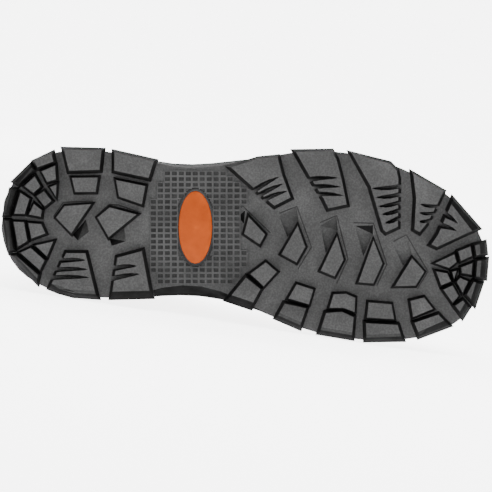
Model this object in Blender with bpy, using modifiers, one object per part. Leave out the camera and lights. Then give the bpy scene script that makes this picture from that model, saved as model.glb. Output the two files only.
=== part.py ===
"""Metatarsal guard boot, right foot, lying on its medial side.

The boot is modelled standing in its own frame (x heel to toe, y towards the medial side,
z up from the ground under the heel) and then laid down on its medial side by one empty.
"""

import math
from collections import namedtuple

import bmesh
import bpy
from mathutils import Matrix, Vector

MM = 0.001
MILLE = 0.001

# Sole sizes
SOLE_LENGTH = 312.0 * MM
BALL_WIDTH = 120.0 * MM
HEEL_HEIGHT = 34.0 * MM
BALL_HEIGHT = 19.0 * MM
TOE_SPRING = 13.0 * MM
LUG_DEPTH = 5.5 * MM
ARCH_RISE = 6.0 * MM
WAIST_FLARE_LATERAL = 2.5 * MM
WAIST_FLARE_MEDIAL = 6.5 * MM
SIDE_LUG_RISE = 6.0 * MM
INNER_DRAFT = 1.6 * MM
OUTER_DRAFT = 2.0 * MM
LUG_ROOT = 1.5 * MM
MIN_COVER = 1.2 * MM
SIPE_WIDTH = 2.6 * MM
SLAB_INSET = 1.5 * MM

# Layers above the outsole
MIDSOLE_THICKNESS = 4.0 * MM
MIDSOLE_INSET = 1.2 * MM
WELT_THICKNESS = 3.2 * MM
WELT_INSET = 1.8 * MM
INSOLE_THICKNESS = 4.0 * MM

# Upper
SHAFT_HEIGHT = 178.0 * MM
UPPER_WALL = 2.4 * MM
UPPER_INSET = 9.0 * MM
UPPER_BULGE = 1.5 * MM
TOE_BOX_HEIGHT = 52.0 * MM
COLLAR_WIDTH = 76.0 * MM
THROAT_WIDTH = 34.0 * MM

# Overlays and fittings
OVERLAY_THICKNESS = 1.6 * MM
OVERLAY_LIFT = 0.8 * MM
COUNTER_HEIGHT = 56.0 * MM
COUNTER_LENGTH = 84.0 * MM
COUNTER_STANDOFF = 1.08 * MM
TOE_CAP_STANDOFF = 0.45 * MM
INSOLE_MARGIN = 1.8 * MM
COLLAR_HEIGHT = 24.0 * MM
COLLAR_THICKNESS = 3.2 * MM
TONGUE_THICKNESS = 4.5 * MM
TONGUE_OVERHANG = 14.0 * MM
GUARD_THICKNESS = 2.6 * MM
GUARD_STANDOFF = 5.0 * MM
GUARD_RIB_RISE = 1.4 * MM
EYELET_RADIUS = 3.6 * MM
EYELET_WIRE = 1.0 * MM
EYELET_PAIRS = 4
LACE_RADIUS = 2.0 * MM
PULL_LOOP_WIDTH = 16.0 * MM
PULL_LOOP_RISE = 20.0 * MM
PULL_LOOP_LEG = 16.0 * MM
PULL_LOOP_THICKNESS = 2.2 * MM
PULL_LOOP_SLACK = 1.92 * MM
BADGE_LENGTH = 46.5 * MM
BADGE_WIDTH = 22.0 * MM
BADGE_DEPTH = 1.6 * MM
BADGE_CENTRE = (396, -65)
BADGE_TURN = 4.8
BADGE_SEGMENTS = 28

# Clearance between neighbouring pieces
GAP = 0.3 * MM

# Middle of the boot, as shares of the sole length, the ball width and the shaft height
BOOT_MIDDLE = (0.45, -0.02, 0.36)

OutlineRow = namedtuple("OutlineRow", "length lateral medial")
OUTLINE = [OutlineRow(*row) for row in (
    # thousandths of the sole length, then of the ball width on each side of the axis
    (0, 110, 25),
    (3, 145, 61),
    (10, 185, 120),
    (19, 240, 168),
    (35, 295, 226),
    (54, 342, 268),
    (80, 388, 306),
    (112, 418, 338),
    (160, 439, 357),
    (208, 437, 358),
    (256, 426, 353),
    (304, 411, 339),
    (353, 403, 318),
    (401, 415, 306),
    (449, 439, 311),
    (497, 462, 331),
    (545, 490, 362),
    (593, 522, 405),
    (641, 536, 439),
    (689, 536, 457),
    (737, 524, 463),
    (785, 493, 463),
    (827, 457, 450),
    (865, 413, 428),
    (897, 367, 401),
    (926, 315, 363),
    (952, 253, 312),
    (971, 190, 255),
    (986, 118, 182),
    (995, 48, 110),
    (1000, -6, 60),
)]

ProfileRow = namedtuple("ProfileRow", "length tread spring drop")
PROFILE = [ProfileRow(*row) for row in (
    # thousandths of the sole length, shares of the toe spring under and over the sole,
    # share of the drop from heel to ball
    (0, 0.10, 0.00, 1.00),
    (30, 0.02, 0.00, 0.99),
    (80, 0.00, 0.00, 0.97),
    (200, 0.00, 0.00, 0.93),
    (300, 0.00, 0.00, 0.84),
    (400, 0.00, 0.00, 0.66),
    (500, 0.00, 0.00, 0.36),
    (600, 0.00, 0.00, 0.10),
    (680, 0.00, 0.00, 0.00),
    (760, 0.03, 0.03, 0.00),
    (840, 0.17, 0.16, 0.00),
    (910, 0.42, 0.38, 0.00),
    (960, 0.70, 0.60, 0.00),
    (1000, 1.00, 0.80, 0.00),
)]

ArchRow = namedtuple("ArchRow", "length rise")
ARCH = [ArchRow(*row) for row in (
    # thousandths of the sole length, share of the arch rise
    (0, 0.00),
    (240, 0.00),
    (300, 0.42),
    (350, 0.88),
    (396, 1.00),
    (440, 0.88),
    (500, 0.42),
    (570, 0.00),
    (1000, 0.00),
)]

Lug = namedtuple("Lug", "name outer corners")
LUGS = [Lug(*row) for row in (
    # corners in thousandths of the sole length from the heel and of the ball width from the axis
    ("heel_fan_a1", True, ((62, -337), (95, -387), (100, -346), (69, -309))),
    ("heel_fan_a2", False, ((78, -290), (104, -325), (108, -254), (91, -237))),
    ("heel_fan_a3", False, ((98, -211), (110, -227), (111, -163))),
    ("heel_fan_b1", True, ((54, -314), (61, -294), (34, -216), (25, -227))),
    ("heel_fan_b2", False, ((65, -260), (78, -210), (65, -174), (46, -205))),
    ("heel_fan_b3", False, ((86, -187), (103, -140), (90, -108), (72, -158))),
    ("heel_fan_c1", True, ((19, -178), (28, -180), (19, -53), (11, -51))),
    ("heel_fan_c2", False, ((39, -168), (58, -141), (51, -60), (30, -57))),
    ("heel_fan_c3", False, ((68, -116), (85, -86), (84, -52), (60, -59))),
    ("heel_fan_d1", True, ((13, -16), (20, -18), (34, 129), (27, 134))),
    ("heel_fan_d2", False, ((30, -14), (51, -16), (61, 80), (43, 115))),
    ("heel_fan_d3", False, ((60, -13), (86, -14), (96, 33), (69, 66))),
    ("heel_fan_e1", True, ((34, 166), (41, 162), (88, 253), (86, 287))),
    ("heel_fan_e2", False, ((49, 145), (69, 116), (99, 174), (91, 227))),
    ("heel_fan_e3", False, ((78, 101), (113, 72), (103, 152))),
    ("heel_lateral_outer_1", True, ((119, -414), (195, -425), (194, -323), (133, -305))),
    ("heel_lateral_inner_1", False, ((140, -269), (192, -282), (190, -206), (149, -196))),
    ("heel_lateral_outer_2", True, ((221, -421), (302, -392), (294, -302), (224, -326))),
    ("heel_lateral_inner_2", False, ((229, -277), (289, -258), (285, -161), (238, -192))),
    ("heel_medial_1", True, ((141, 127), (180, 119), (209, 342), (162, 344), (133, 330), (114, 315))),
    ("heel_medial_2", True, ((245, 128), (293, 83), (318, 315), (240, 337))),
    ("heel_arrow_1", False, ((115, -54), (130, -118), (183, -140), (148, 21))),
    ("heel_arrow_2", False, ((198, -73), (221, -131), (276, -106), (224, 25))),
    ("fore_lateral_1", True, ((458, -393), (511, -449), (550, -468), (562, -378), (583, -262),
                              (552, -212), (544, -226), (503, -305))),
    ("fore_lateral_2", True, ((586, -503), (658, -522), (669, -481), (683, -377), (697, -251),
                              (661, -222), (649, -274), (616, -389))),
    ("fore_lateral_3", True, ((699, -519), (777, -483), (792, -449), (797, -407), (804, -157),
                              (781, -123), (775, -136), (742, -357))),
    ("fore_lateral_4", True, ((826, -441), (890, -362), (881, -297), (862, -187), (849, -138),
                              (838, -151), (836, -316))),
    ("fore_lateral_5", True, ((912, -323), (968, -186), (887, -68), (875, -79), (887, -134))),
    ("toe_1", False, ((886, 18), (923, -37), (929, 2), (915, 36))),
    ("toe_2", False, ((931, -55), (955, -86), (960, -37), (938, -6))),
    ("toe_3", True, ((964, -93), (984, -110), (988, -59), (969, -41))),
    ("toe_4", False, ((889, 60), (912, 66), (921, 106), (902, 131))),
    ("toe_5", False, ((922, 56), (931, 48), (927, 91))),
    ("toe_6", False, ((940, 28), (962, 1), (962, 62), (942, 57))),
    ("toe_7", True, ((972, -13), (991, -22), (991, 72), (972, 69))),
    ("toe_8", False, ((933, 107), (939, 84), (956, 99), (947, 159))),
    ("toe_9", False, ((907, 153), (925, 127), (939, 179), (928, 217))),
    ("toe_10", True, ((934, 232), (949, 202), (962, 235), (952, 284))),
    ("toe_11", True, ((956, 169), (968, 99), (984, 108), (974, 212))),
    ("fore_medial_inner_5", False, ((842, 226), (869, 202), (889, 258), (850, 309))),
    ("fore_medial_outer_5", True, ((854, 339), (901, 286), (924, 338), (867, 407))),
    ("fore_medial_inner_4", False, ((758, 252), (804, 252), (812, 329), (757, 332))),
    ("fore_medial_outer_4", True, ((756, 362), (820, 357), (832, 430), (760, 448))),
    ("fore_medial_inner_3", False, ((686, 225), (711, 217), (730, 234), (731, 308), (708, 291),
                                    (680, 297))),
    ("fore_medial_outer_3", True, ((674, 326), (706, 313), (730, 336), (730, 444), (665, 430))),
    ("fore_medial_inner_2", False, ((610, 189), (644, 210), (638, 288), (596, 266))),
    ("fore_medial_outer_2", True, ((589, 295), (633, 310), (623, 413), (576, 372))),
    ("fore_medial_inner_1", False, ((515, 155), (544, 88), (568, 133), (544, 213))),
    ("fore_medial_outer_1", True, ((507, 176), (538, 230), (521, 329), (474, 299))),
    ("arrow_1", False, ((502, -142), (538, -58), (529, -4), (496, -52))),
    ("arrow_2", False, ((602, -118), (621, -11), (606, 75), (574, 38))),
    ("arrow_3", False, ((683, -81), (700, 39), (685, 131), (656, 107))),
    ("arrow_4", False, ((757, -75), (779, 43), (764, 151), (734, 151))),
    ("arrow_5", False, ((838, 2), (865, 67), (850, 144), (808, 155))),
)]

Sipe = namedtuple("Sipe", "lug edge share tip")
SIPES = [Sipe(*row) for row in (
    # lug, index of the corner where the edge starts, share along the edge, tip of the notch
    ("heel_medial_1", 5, 0.29, (192, 244)),
    ("heel_medial_1", 5, 0.52, (187, 203)),
    ("heel_medial_1", 5, 0.78, (181, 156)),
    ("heel_medial_2", 3, 0.48, (292, 204)),
    ("heel_medial_2", 3, 0.73, (285, 163)),
    ("fore_lateral_1", 6, 0.25, (575, -296)),
    ("fore_lateral_1", 6, 0.52, (566, -332)),
    ("fore_lateral_1", 6, 0.80, (556, -366)),
    ("fore_lateral_2", 6, 0.18, (689, -296)),
    ("fore_lateral_2", 6, 0.50, (682, -340)),
    ("fore_lateral_2", 6, 0.82, (675, -386)),
    ("fore_lateral_3", 3, 0.16, (745, -345)),
    ("fore_lateral_3", 3, 0.33, (755, -300)),
    ("fore_lateral_3", 3, 0.50, (761, -254)),
    ("fore_lateral_3", 3, 0.66, (769, -214)),
    ("fore_lateral_3", 3, 0.82, (777, -170)),
    ("fore_lateral_4", 2, 0.15, (845, -285)),
    ("fore_lateral_4", 2, 0.50, (845, -240)),
    ("fore_lateral_4", 2, 0.85, (846, -195)),
    ("fore_lateral_5", 4, 0.25, (925, -160)),
    ("fore_lateral_5", 4, 0.55, (925, -200)),
)]

UpperRow = namedtuple("UpperRow", "name low_x low_z top_x top_z width widest power")
COLLAR_BASE = 1.0 - COLLAR_HEIGHT / (SHAFT_HEIGHT - HEEL_HEIGHT)
UPPER_ROWS = [UpperRow(*row) for row in (
    # low and top points as shares of the sole length and of the height between seat and collar,
    # width as a share of the collar width, None where the sole gives it
    ("toe box back", 0.845, None, 0.845, None, None, 0.10, 2.50),
    ("cap edge", 0.775, None, 0.785, 0.320, None, 0.10, 2.35),
    ("ball", 0.675, None, 0.708, 0.385, None, 0.10, 2.20),
    ("vamp", 0.560, None, 0.640, 0.468, None, 0.10, 2.10),
    ("waist", 0.430, None, 0.577, 0.565, None, 0.12, 2.05),
    ("instep", 0.300, None, 0.524, 0.660, None, 0.14, 2.05),
    ("seat front", 0.190, None, 0.484, 0.745, None, 0.18, 2.10),
    ("seat back", 0.105, None, 0.458, 0.810, None, 0.22, 2.15),
    ("heel turn", 0.058, None, 0.441, 0.860, None, 0.28, 2.20),
    ("heel end", 0.000, None, 0.434, 0.880, None, 0.32, 2.20),
    ("heel", 0.026, 0.130, 0.426, 0.910, 1.00, 0.38, 2.20),
    ("achilles low", 0.032, 0.320, 0.417, 0.940, 0.98, 0.42, 2.15),
    ("achilles", 0.045, 0.560, 0.408, 0.970, 0.97, 0.45, 2.15),
    ("collar base", 0.055, COLLAR_BASE, 0.401, COLLAR_BASE + 0.190, 0.98, 0.48, 2.10),
    ("collar", 0.060, 1.000, 0.394, 1.060, 1.00, 0.50, 2.10),
)]

GUARD_OUTLINE = (
    # side view, shares of the sole length and of the height between seat and collar
    (0.775, 0.800),
    (0.775, 0.440),
    (0.765, 0.380),
    (0.742, 0.345),
    (0.712, 0.338),
    (0.620, 0.392),
    (0.532, 0.458),
    (0.492, 0.496),
    (0.468, 0.540),
    (0.459, 0.590),
    (0.464, 0.640),
    (0.520, 0.800),
)

TOE_STATIONS = 6
ROW_STEPS = 2
HALF_COLUMNS = 13
THROAT_COLUMN = 3
TOE_POWER = 2.3
WIDEST_SEAT = 0.16


# Sole functions

def smooth_lookup(xs, ys, x):
    """Monotone cubic through a table, flat beyond its ends."""
    if x <= xs[0]:
        return ys[0]
    if x >= xs[-1]:
        return ys[-1]
    index = max(i for i in range(len(xs) - 1) if xs[i] <= x)
    slopes = [(ys[i + 1] - ys[i]) / (xs[i + 1] - xs[i]) for i in range(len(xs) - 1)]

    def tangent(i):
        if i == 0:
            return slopes[0]
        if i == len(xs) - 1:
            return slopes[-1]
        before, after = slopes[i - 1], slopes[i]
        if before * after <= 0.0:
            return 0.0
        return 2.0 * before * after / (before + after)

    span = xs[index + 1] - xs[index]
    t = (x - xs[index]) / span
    rise = ys[index + 1] - ys[index]
    m0, m1 = tangent(index) * span, tangent(index + 1) * span
    return (ys[index] + rise * (3 * t * t - 2 * t ** 3) + m0 * (t ** 3 - 2 * t * t + t)
            + m1 * (t ** 3 - t * t))


def column_of(rows, x, field):
    xs = [row.length * MILLE * SOLE_LENGTH for row in rows]
    return smooth_lookup(xs, [getattr(row, field) for row in rows], x)


def ground(x):
    """Height of the lug faces."""
    return TOE_SPRING * column_of(PROFILE, x, "tread")


def tread_base(x):
    """Underside of the sole slab, between the lugs."""
    return ground(x) + LUG_DEPTH + ARCH_RISE * column_of(ARCH, x, "rise")


def waist_flare(x):
    """How far the underside of the waist stands in from the lateral and medial edges."""
    share = column_of(ARCH, x, "rise")
    return WAIST_FLARE_LATERAL * share, WAIST_FLARE_MEDIAL * share


def no_flare(x):
    return 0.0, 0.0


def seat(x):
    """Top of the midsole, which carries the upper."""
    drop = (HEEL_HEIGHT - BALL_HEIGHT) * column_of(PROFILE, x, "drop")
    return BALL_HEIGHT + drop + TOE_SPRING * column_of(PROFILE, x, "spring")


def outsole_top(x):
    return seat(x) - MIDSOLE_THICKNESS - GAP


def plan(point):
    return Vector((point[0] * MILLE * SOLE_LENGTH, point[1] * MILLE * BALL_WIDTH))


def inset_loop(loop, distance):
    """A counterclockwise loop moved inwards along its corner bisectors."""
    result = []
    count = len(loop)
    for i, point in enumerate(loop):
        before = (point - loop[i - 1]).normalized()
        after = (loop[(i + 1) % count] - point).normalized()
        tangent = (before + after).normalized()
        normal = Vector((-tangent.y, tangent.x))
        stretch = 1.0 / max(0.5, normal.dot(Vector((-after.y, after.x))))
        result.append(point + normal * distance * stretch)
    return result


class Edges:
    """Lateral and medial edges of the sole outline moved inwards, looked up along x."""

    def __init__(self, inset):
        lateral = [plan((row.length, -row.lateral)) for row in OUTLINE]
        medial = [plan((row.length, row.medial)) for row in OUTLINE]
        loop = inset_loop(lateral + medial[::-1], inset)
        self.lateral = loop[:len(OUTLINE)]
        self.medial = loop[len(OUTLINE):][::-1]
        self.heel = 0.5 * (self.lateral[0] + self.medial[0])
        self.toe = 0.5 * (self.lateral[-1] + self.medial[-1])

    def side(self, points, x):
        if x <= self.heel.x:
            return self.heel.y
        if x >= self.toe.x:
            return self.toe.y
        for first, second in zip(points[:-1], points[1:]):
            if first.x <= x <= second.x:
                t = (x - first.x) / max(1e-9, second.x - first.x)
                return first.y + t * (second.y - first.y)
        return points[0].y if x < points[0].x else points[-1].y

    def at(self, x):
        return self.side(self.lateral, x), self.side(self.medial, x)


# Scene helpers

def clear_scene():
    for item in list(bpy.data.objects):
        bpy.data.objects.remove(item, do_unlink=True)


def new_collection(name):
    collection = bpy.data.collections.new(name)
    bpy.context.scene.collection.children.link(collection)
    return collection


def new_material(name, colour, roughness, metallic=0.0):
    material = bpy.data.materials.new(name)
    material.use_nodes = True
    shader = material.node_tree.nodes["Principled BSDF"]
    shader.inputs["Base Color"].default_value = (*colour, 1.0)
    shader.inputs["Roughness"].default_value = roughness
    shader.inputs["Metallic"].default_value = metallic
    material.diffuse_color = (*colour, 1.0)
    return material


def add_mesh(name, bm, collection, frame, material, smooth=False):
    mesh = bpy.data.meshes.new(name)
    bmesh.ops.remove_doubles(bm, verts=bm.verts, dist=1e-7)
    bm.to_mesh(mesh)
    bm.free()
    for polygon in mesh.polygons:
        polygon.use_smooth = smooth
    item = bpy.data.objects.new(name, mesh)
    collection.objects.link(item)
    item.parent = frame
    if material is not None:
        mesh.materials.append(material)
    return item


def solidify(item, thickness, offset):
    modifier = item.modifiers.new("Wall", "SOLIDIFY")
    modifier.thickness = thickness
    modifier.offset = offset
    modifier.use_even_offset = False
    return modifier


def boolean(item, other, operation, own=False):
    modifier = item.modifiers.new(operation.title(), "BOOLEAN")
    modifier.operation = operation
    modifier.object = other
    modifier.solver = "EXACT"
    modifier.use_self = own
    return modifier


# Sole pieces

def slab(underside, top, lower_inset, upper_inset, stations=38, columns=2, flare=no_flare):
    """A closed loft along the sole between two heights, each with its own outline."""
    bm = bmesh.new()
    lower, upper = Edges(lower_inset), Edges(upper_inset)
    rings = []
    for i in range(stations + 1):
        share = 0.5 - 0.5 * math.cos(math.pi * i / stations)
        ring = []
        for edges, height, shares, stand_in in (
                (lower, underside, range(columns + 1), flare),
                (upper, top, range(columns, -1, -1), no_flare)):
            first, last = edges.lateral[0].x, edges.lateral[-1].x
            start = max(first, edges.medial[0].x) + 0.05 * MM
            end = min(last, edges.medial[-1].x) - 0.05 * MM
            x = start + (end - start) * share
            low, high = edges.at(x)
            low_in, high_in = stand_in(x)
            low, high = low + low_in, high - high_in
            for k in shares:
                y = low + (high - low) * k / columns
                ring.append(bm.verts.new((x, y, height(x))))
        rings.append(ring)
    count = len(rings[0])
    for ring, following in zip(rings[:-1], rings[1:]):
        for k in range(count):
            following_k = (k + 1) % count
            bm.faces.new((ring[k], following[k], following[following_k], ring[following_k]))
    bm.faces.new(rings[0])
    bm.faces.new(rings[-1][::-1])
    bmesh.ops.recalc_face_normals(bm, faces=bm.faces)
    return bm


def signed_area(loop):
    return 0.5 * sum(a.x * b.y - b.x * a.y for a, b in zip(loop, loop[1:] + loop[:1]))


def lug_loops(lug):
    """Face and base outlines of a lug, with its sipes cut into both."""
    corners = [plan(corner) for corner in lug.corners]
    draft = OUTER_DRAFT if lug.outer else INNER_DRAFT
    turn = 1.0 if signed_area(corners) > 0.0 else -1.0
    base = inset_loop(corners, -draft * turn)
    face_loop, base_loop = [], []
    for i, corner in enumerate(corners):
        face_loop.append(corner)
        base_loop.append(base[i])
        following = (i + 1) % len(corners)
        cuts = sorted((s for s in SIPES if s.lug == lug.name and s.edge == i),
                      key=lambda s: s.share)
        edge = corners[following] - corner
        base_edge = base[following] - base[i]
        for cut in cuts:
            half = 0.5 * SIPE_WIDTH / edge.length
            tip = plan(cut.tip)
            for share in (cut.share - half, None, cut.share + half):
                face_loop.append(tip if share is None else corner + edge * share)
                base_loop.append(tip if share is None else base[i] + base_edge * share)
    if turn < 0.0:
        return face_loop[::-1], base_loop[::-1]
    return face_loop, base_loop


def add_lug(bm, lug):
    face_loop, base_loop = lug_loops(lug)
    rise = SIDE_LUG_RISE if lug.outer else LUG_ROOT
    levels = []
    for loop, height in ((face_loop, ground),
                         (base_loop, lambda x: ground(x) + LUG_DEPTH),
                         (base_loop, lambda x: min(tread_base(x) + rise,
                                                   outsole_top(x) - MIN_COVER))):
        levels.append([bm.verts.new((p.x, p.y, height(p.x))) for p in loop])
    count = len(face_loop)
    for lower, upper in zip(levels[:-1], levels[1:]):
        for k in range(count):
            following = (k + 1) % count
            bm.faces.new((lower[k], lower[following], upper[following], upper[k]))
    bottom = bm.faces.new(levels[0][::-1])
    top = bm.faces.new(levels[-1])
    bmesh.ops.triangulate(bm, faces=[bottom, top])


def badge_prism(bm, length, width, bottom, top):
    """An oval prism across the waist of the sole."""
    centre = plan(BADGE_CENTRE)
    turns = [2.0 * math.pi * k / BADGE_SEGMENTS for k in range(BADGE_SEGMENTS)]
    lean = math.radians(BADGE_TURN)
    short = Vector((math.cos(lean), -math.sin(lean))) * 0.5 * width
    long = Vector((math.sin(lean), math.cos(lean))) * 0.5 * length
    loops = []
    for height in (bottom, top):
        loops.append([bm.verts.new((*(centre + short * math.cos(a) + long * math.sin(a)), height))
                      for a in turns])
    for k in range(BADGE_SEGMENTS):
        following = (k + 1) % BADGE_SEGMENTS
        bm.faces.new((loops[0][k], loops[0][following], loops[1][following], loops[1][k]))
    bm.faces.new(loops[0][::-1])
    bm.faces.new(loops[1])


def badge_floor():
    """Height of the flat bottom of the badge's pocket."""
    xs = [plan(BADGE_CENTRE).x + 0.5 * BADGE_WIDTH * k for k in (-1.0, 0.0, 1.0)]
    return max(tread_base(x) for x in xs) + BADGE_DEPTH


def build_outsole(parts, cutters, frame, material):
    outsole = add_mesh("outsole", slab(tread_base, outsole_top, SLAB_INSET, SLAB_INSET,
                                       flare=waist_flare), parts, frame, material)
    bm = bmesh.new()
    for lug in LUGS:
        add_lug(bm, lug)
    lugs = add_mesh("lug_blocks", bm, cutters, frame, None)
    bm = bmesh.new()
    badge_prism(bm, BADGE_LENGTH, BADGE_WIDTH, 0.0, badge_floor())
    pocket = add_mesh("badge_pocket", bm, cutters, frame, None)
    boolean(outsole, lugs, "UNION", own=True)
    boolean(outsole, pocket, "DIFFERENCE")
    return outsole


def build_badge(parts, frame, material):
    bm = bmesh.new()
    top = badge_floor() - GAP
    badge_prism(bm, BADGE_LENGTH - 2 * GAP, BADGE_WIDTH - 2 * GAP, top - BADGE_DEPTH, top)
    return add_mesh("waist_badge", bm, parts, frame, material)


def build_layers(parts, frame, materials):
    midsole = slab(lambda x: outsole_top(x) + GAP, seat, MIDSOLE_INSET, MIDSOLE_INSET)
    add_mesh("midsole", midsole, parts, frame, materials["rubber_side"])
    inner = UPPER_INSET + UPPER_WALL + INSOLE_MARGIN
    insole = slab(lambda x: seat(x) + GAP, lambda x: seat(x) + GAP + INSOLE_THICKNESS,
                  inner, inner, stations=28)
    add_mesh("insole", insole, parts, frame, materials["insole"])
    add_mesh("welt", welt_ring(), parts, frame, materials["rubber_side"])


def welt_ring():
    """A closed rim on the midsole around the foot of the upper."""
    bm = bmesh.new()
    inner_inset = UPPER_INSET - OVERLAY_THICKNESS - 2 * GAP - UPPER_BULGE
    lateral = [plan((row.length, -row.lateral)) for row in OUTLINE]
    medial = [plan((row.length, row.medial)) for row in OUTLINE]
    loop = lateral + medial[::-1]
    outer, inner = inset_loop(loop, WELT_INSET), inset_loop(loop, inner_inset)
    rings = []
    for o, i in zip(outer, inner):
        rings.append([bm.verts.new((p.x, p.y, seat(p.x) + h))
                      for p, h in ((o, GAP), (i, GAP), (i, GAP + WELT_THICKNESS),
                                   (o, GAP + WELT_THICKNESS))])
    count = len(rings)
    for k in range(count):
        ring, following = rings[k], rings[(k + 1) % count]
        for m in range(4):
            n = (m + 1) % 4
            bm.faces.new((ring[m], following[m], following[n], ring[n]))
    bmesh.ops.recalc_face_normals(bm, faces=bm.faces)
    return bm


# Upper surface

class Section:
    """One section of the upper, from the lateral foot over the top to the medial foot."""

    def __init__(self, low, top, foot_half, half, low_centre, top_centre, widest, power):
        self.low = Vector(low)
        self.top = Vector(top)
        self.foot_half = foot_half
        self.half = half
        self.low_centre = low_centre
        self.top_centre = top_centre
        self.widest = widest
        self.power = power
        ratio = min(0.985, foot_half / half) if half > 0.0 else 0.0
        self.start = math.acos(ratio ** (power / 2.0))
        self.closed = foot_half <= 1e-6

    def point(self, side, t):
        """Side is -1 or 1, t runs from 0 at the foot to 1 at the top."""
        angle = -self.start + (0.5 * math.pi + self.start) * t
        width = max(0.0, math.cos(angle)) ** (2.0 / self.power)
        if angle >= 0.0:
            height = self.widest + (1 - self.widest) * math.sin(angle) ** (2.0 / self.power)
        else:
            height = self.widest * (1 - (math.sin(-angle) / math.sin(self.start))
                                    ** (2.0 / self.power))
        centre = self.low_centre + (self.top_centre - self.low_centre) * min(1.0, height / 0.25)
        y = centre + side * width * self.half
        x = self.low.x + (self.top.x - self.low.x) * height
        z = self.low.y + (self.top.y - self.low.y) * height
        return Vector((x, y, z))

    def half_length(self):
        points = [self.point(1, k / 16) for k in range(17)]
        return sum((b - a).length for a, b in zip(points[:-1], points[1:]))


def upper_sections():
    """All sections from the toe tip to the collar, and the index of each named row."""
    feather = Edges(UPPER_INSET)
    tip, back = feather.toe.x, feather.heel.x
    sections, names = [], {}
    box_x = UPPER_ROWS[0].low_x * SOLE_LENGTH
    depth = tip - box_x
    for k in range(TOE_STATIONS):
        share = 1 - math.cos(0.5 * math.pi * k / TOE_STATIONS)
        x = tip - depth * share
        height = TOE_BOX_HEIGHT * (1 - (1 - share) ** TOE_POWER) ** (1 / TOE_POWER)
        lateral, medial = feather.at(x)
        half = 0.5 * (medial - lateral)
        centre = 0.5 * (medial + lateral)
        foot = seat(x) + GAP
        sections.append(Section((x, foot), (x, foot + height), half, half + UPPER_BULGE * share,
                                centre, centre, 0.10, UPPER_ROWS[0].power))
    rise = SHAFT_HEIGHT - HEEL_HEIGHT
    seat_lateral, seat_medial = feather.at(WIDEST_SEAT * SOLE_LENGTH)
    heel_centre = 0.5 * (seat_lateral + seat_medial)
    heel_half = 0.5 * (seat_medial - seat_lateral) + UPPER_BULGE
    steps = (len(UPPER_ROWS) - 1) * ROW_STEPS
    indices = list(range(len(UPPER_ROWS)))

    def resolved(row, field):
        value = getattr(row, field)
        foot = max(row.low_x * SOLE_LENGTH, back)
        if field == "low_x":
            return foot
        if field == "low_z":
            return seat(foot) + GAP if value is None else HEEL_HEIGHT + value * rise
        if field == "top_x":
            return value * SOLE_LENGTH
        if field == "top_z":
            if value is None:
                return seat(foot) + GAP + TOE_BOX_HEIGHT
            return HEEL_HEIGHT + value * rise
        if field == "width":
            if value is not None:
                return 0.5 * value * COLLAR_WIDTH
            if row.low_x < WIDEST_SEAT:
                return heel_half
            lateral, medial = feather.at(foot)
            return 0.5 * (medial - lateral) + UPPER_BULGE
        return value

    tables = {field: [resolved(row, field) for row in UPPER_ROWS]
              for field in ("low_x", "low_z", "top_x", "top_z", "width", "widest", "power")}
    last_open = [row.name for row in UPPER_ROWS].index("heel end")
    for step in range(steps + 1):
        position = step / ROW_STEPS
        value = {field: smooth_lookup(indices, column, position)
                 for field, column in tables.items()}
        x = value["low_x"]
        if position < last_open:
            lateral, medial = feather.at(x)
            foot = seat(x) + GAP
            foot_half, low_centre = 0.5 * (medial - lateral), 0.5 * (medial + lateral)
            value["width"] = max(value["width"], foot_half + 0.5 * UPPER_BULGE)
            top_centre = low_centre if x > WIDEST_SEAT * SOLE_LENGTH else heel_centre
        else:
            foot, foot_half, low_centre, top_centre = value["low_z"], 0.0, heel_centre, heel_centre
            if position == last_open:
                foot = seat(x) + GAP
        if step % ROW_STEPS == 0:
            names[UPPER_ROWS[step // ROW_STEPS].name] = len(sections)
        sections.append(Section((x, foot), (value["top_x"], value["top_z"]), foot_half,
                                value["width"], low_centre, top_centre, value["widest"],
                                value["power"]))
    return sections, names


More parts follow.
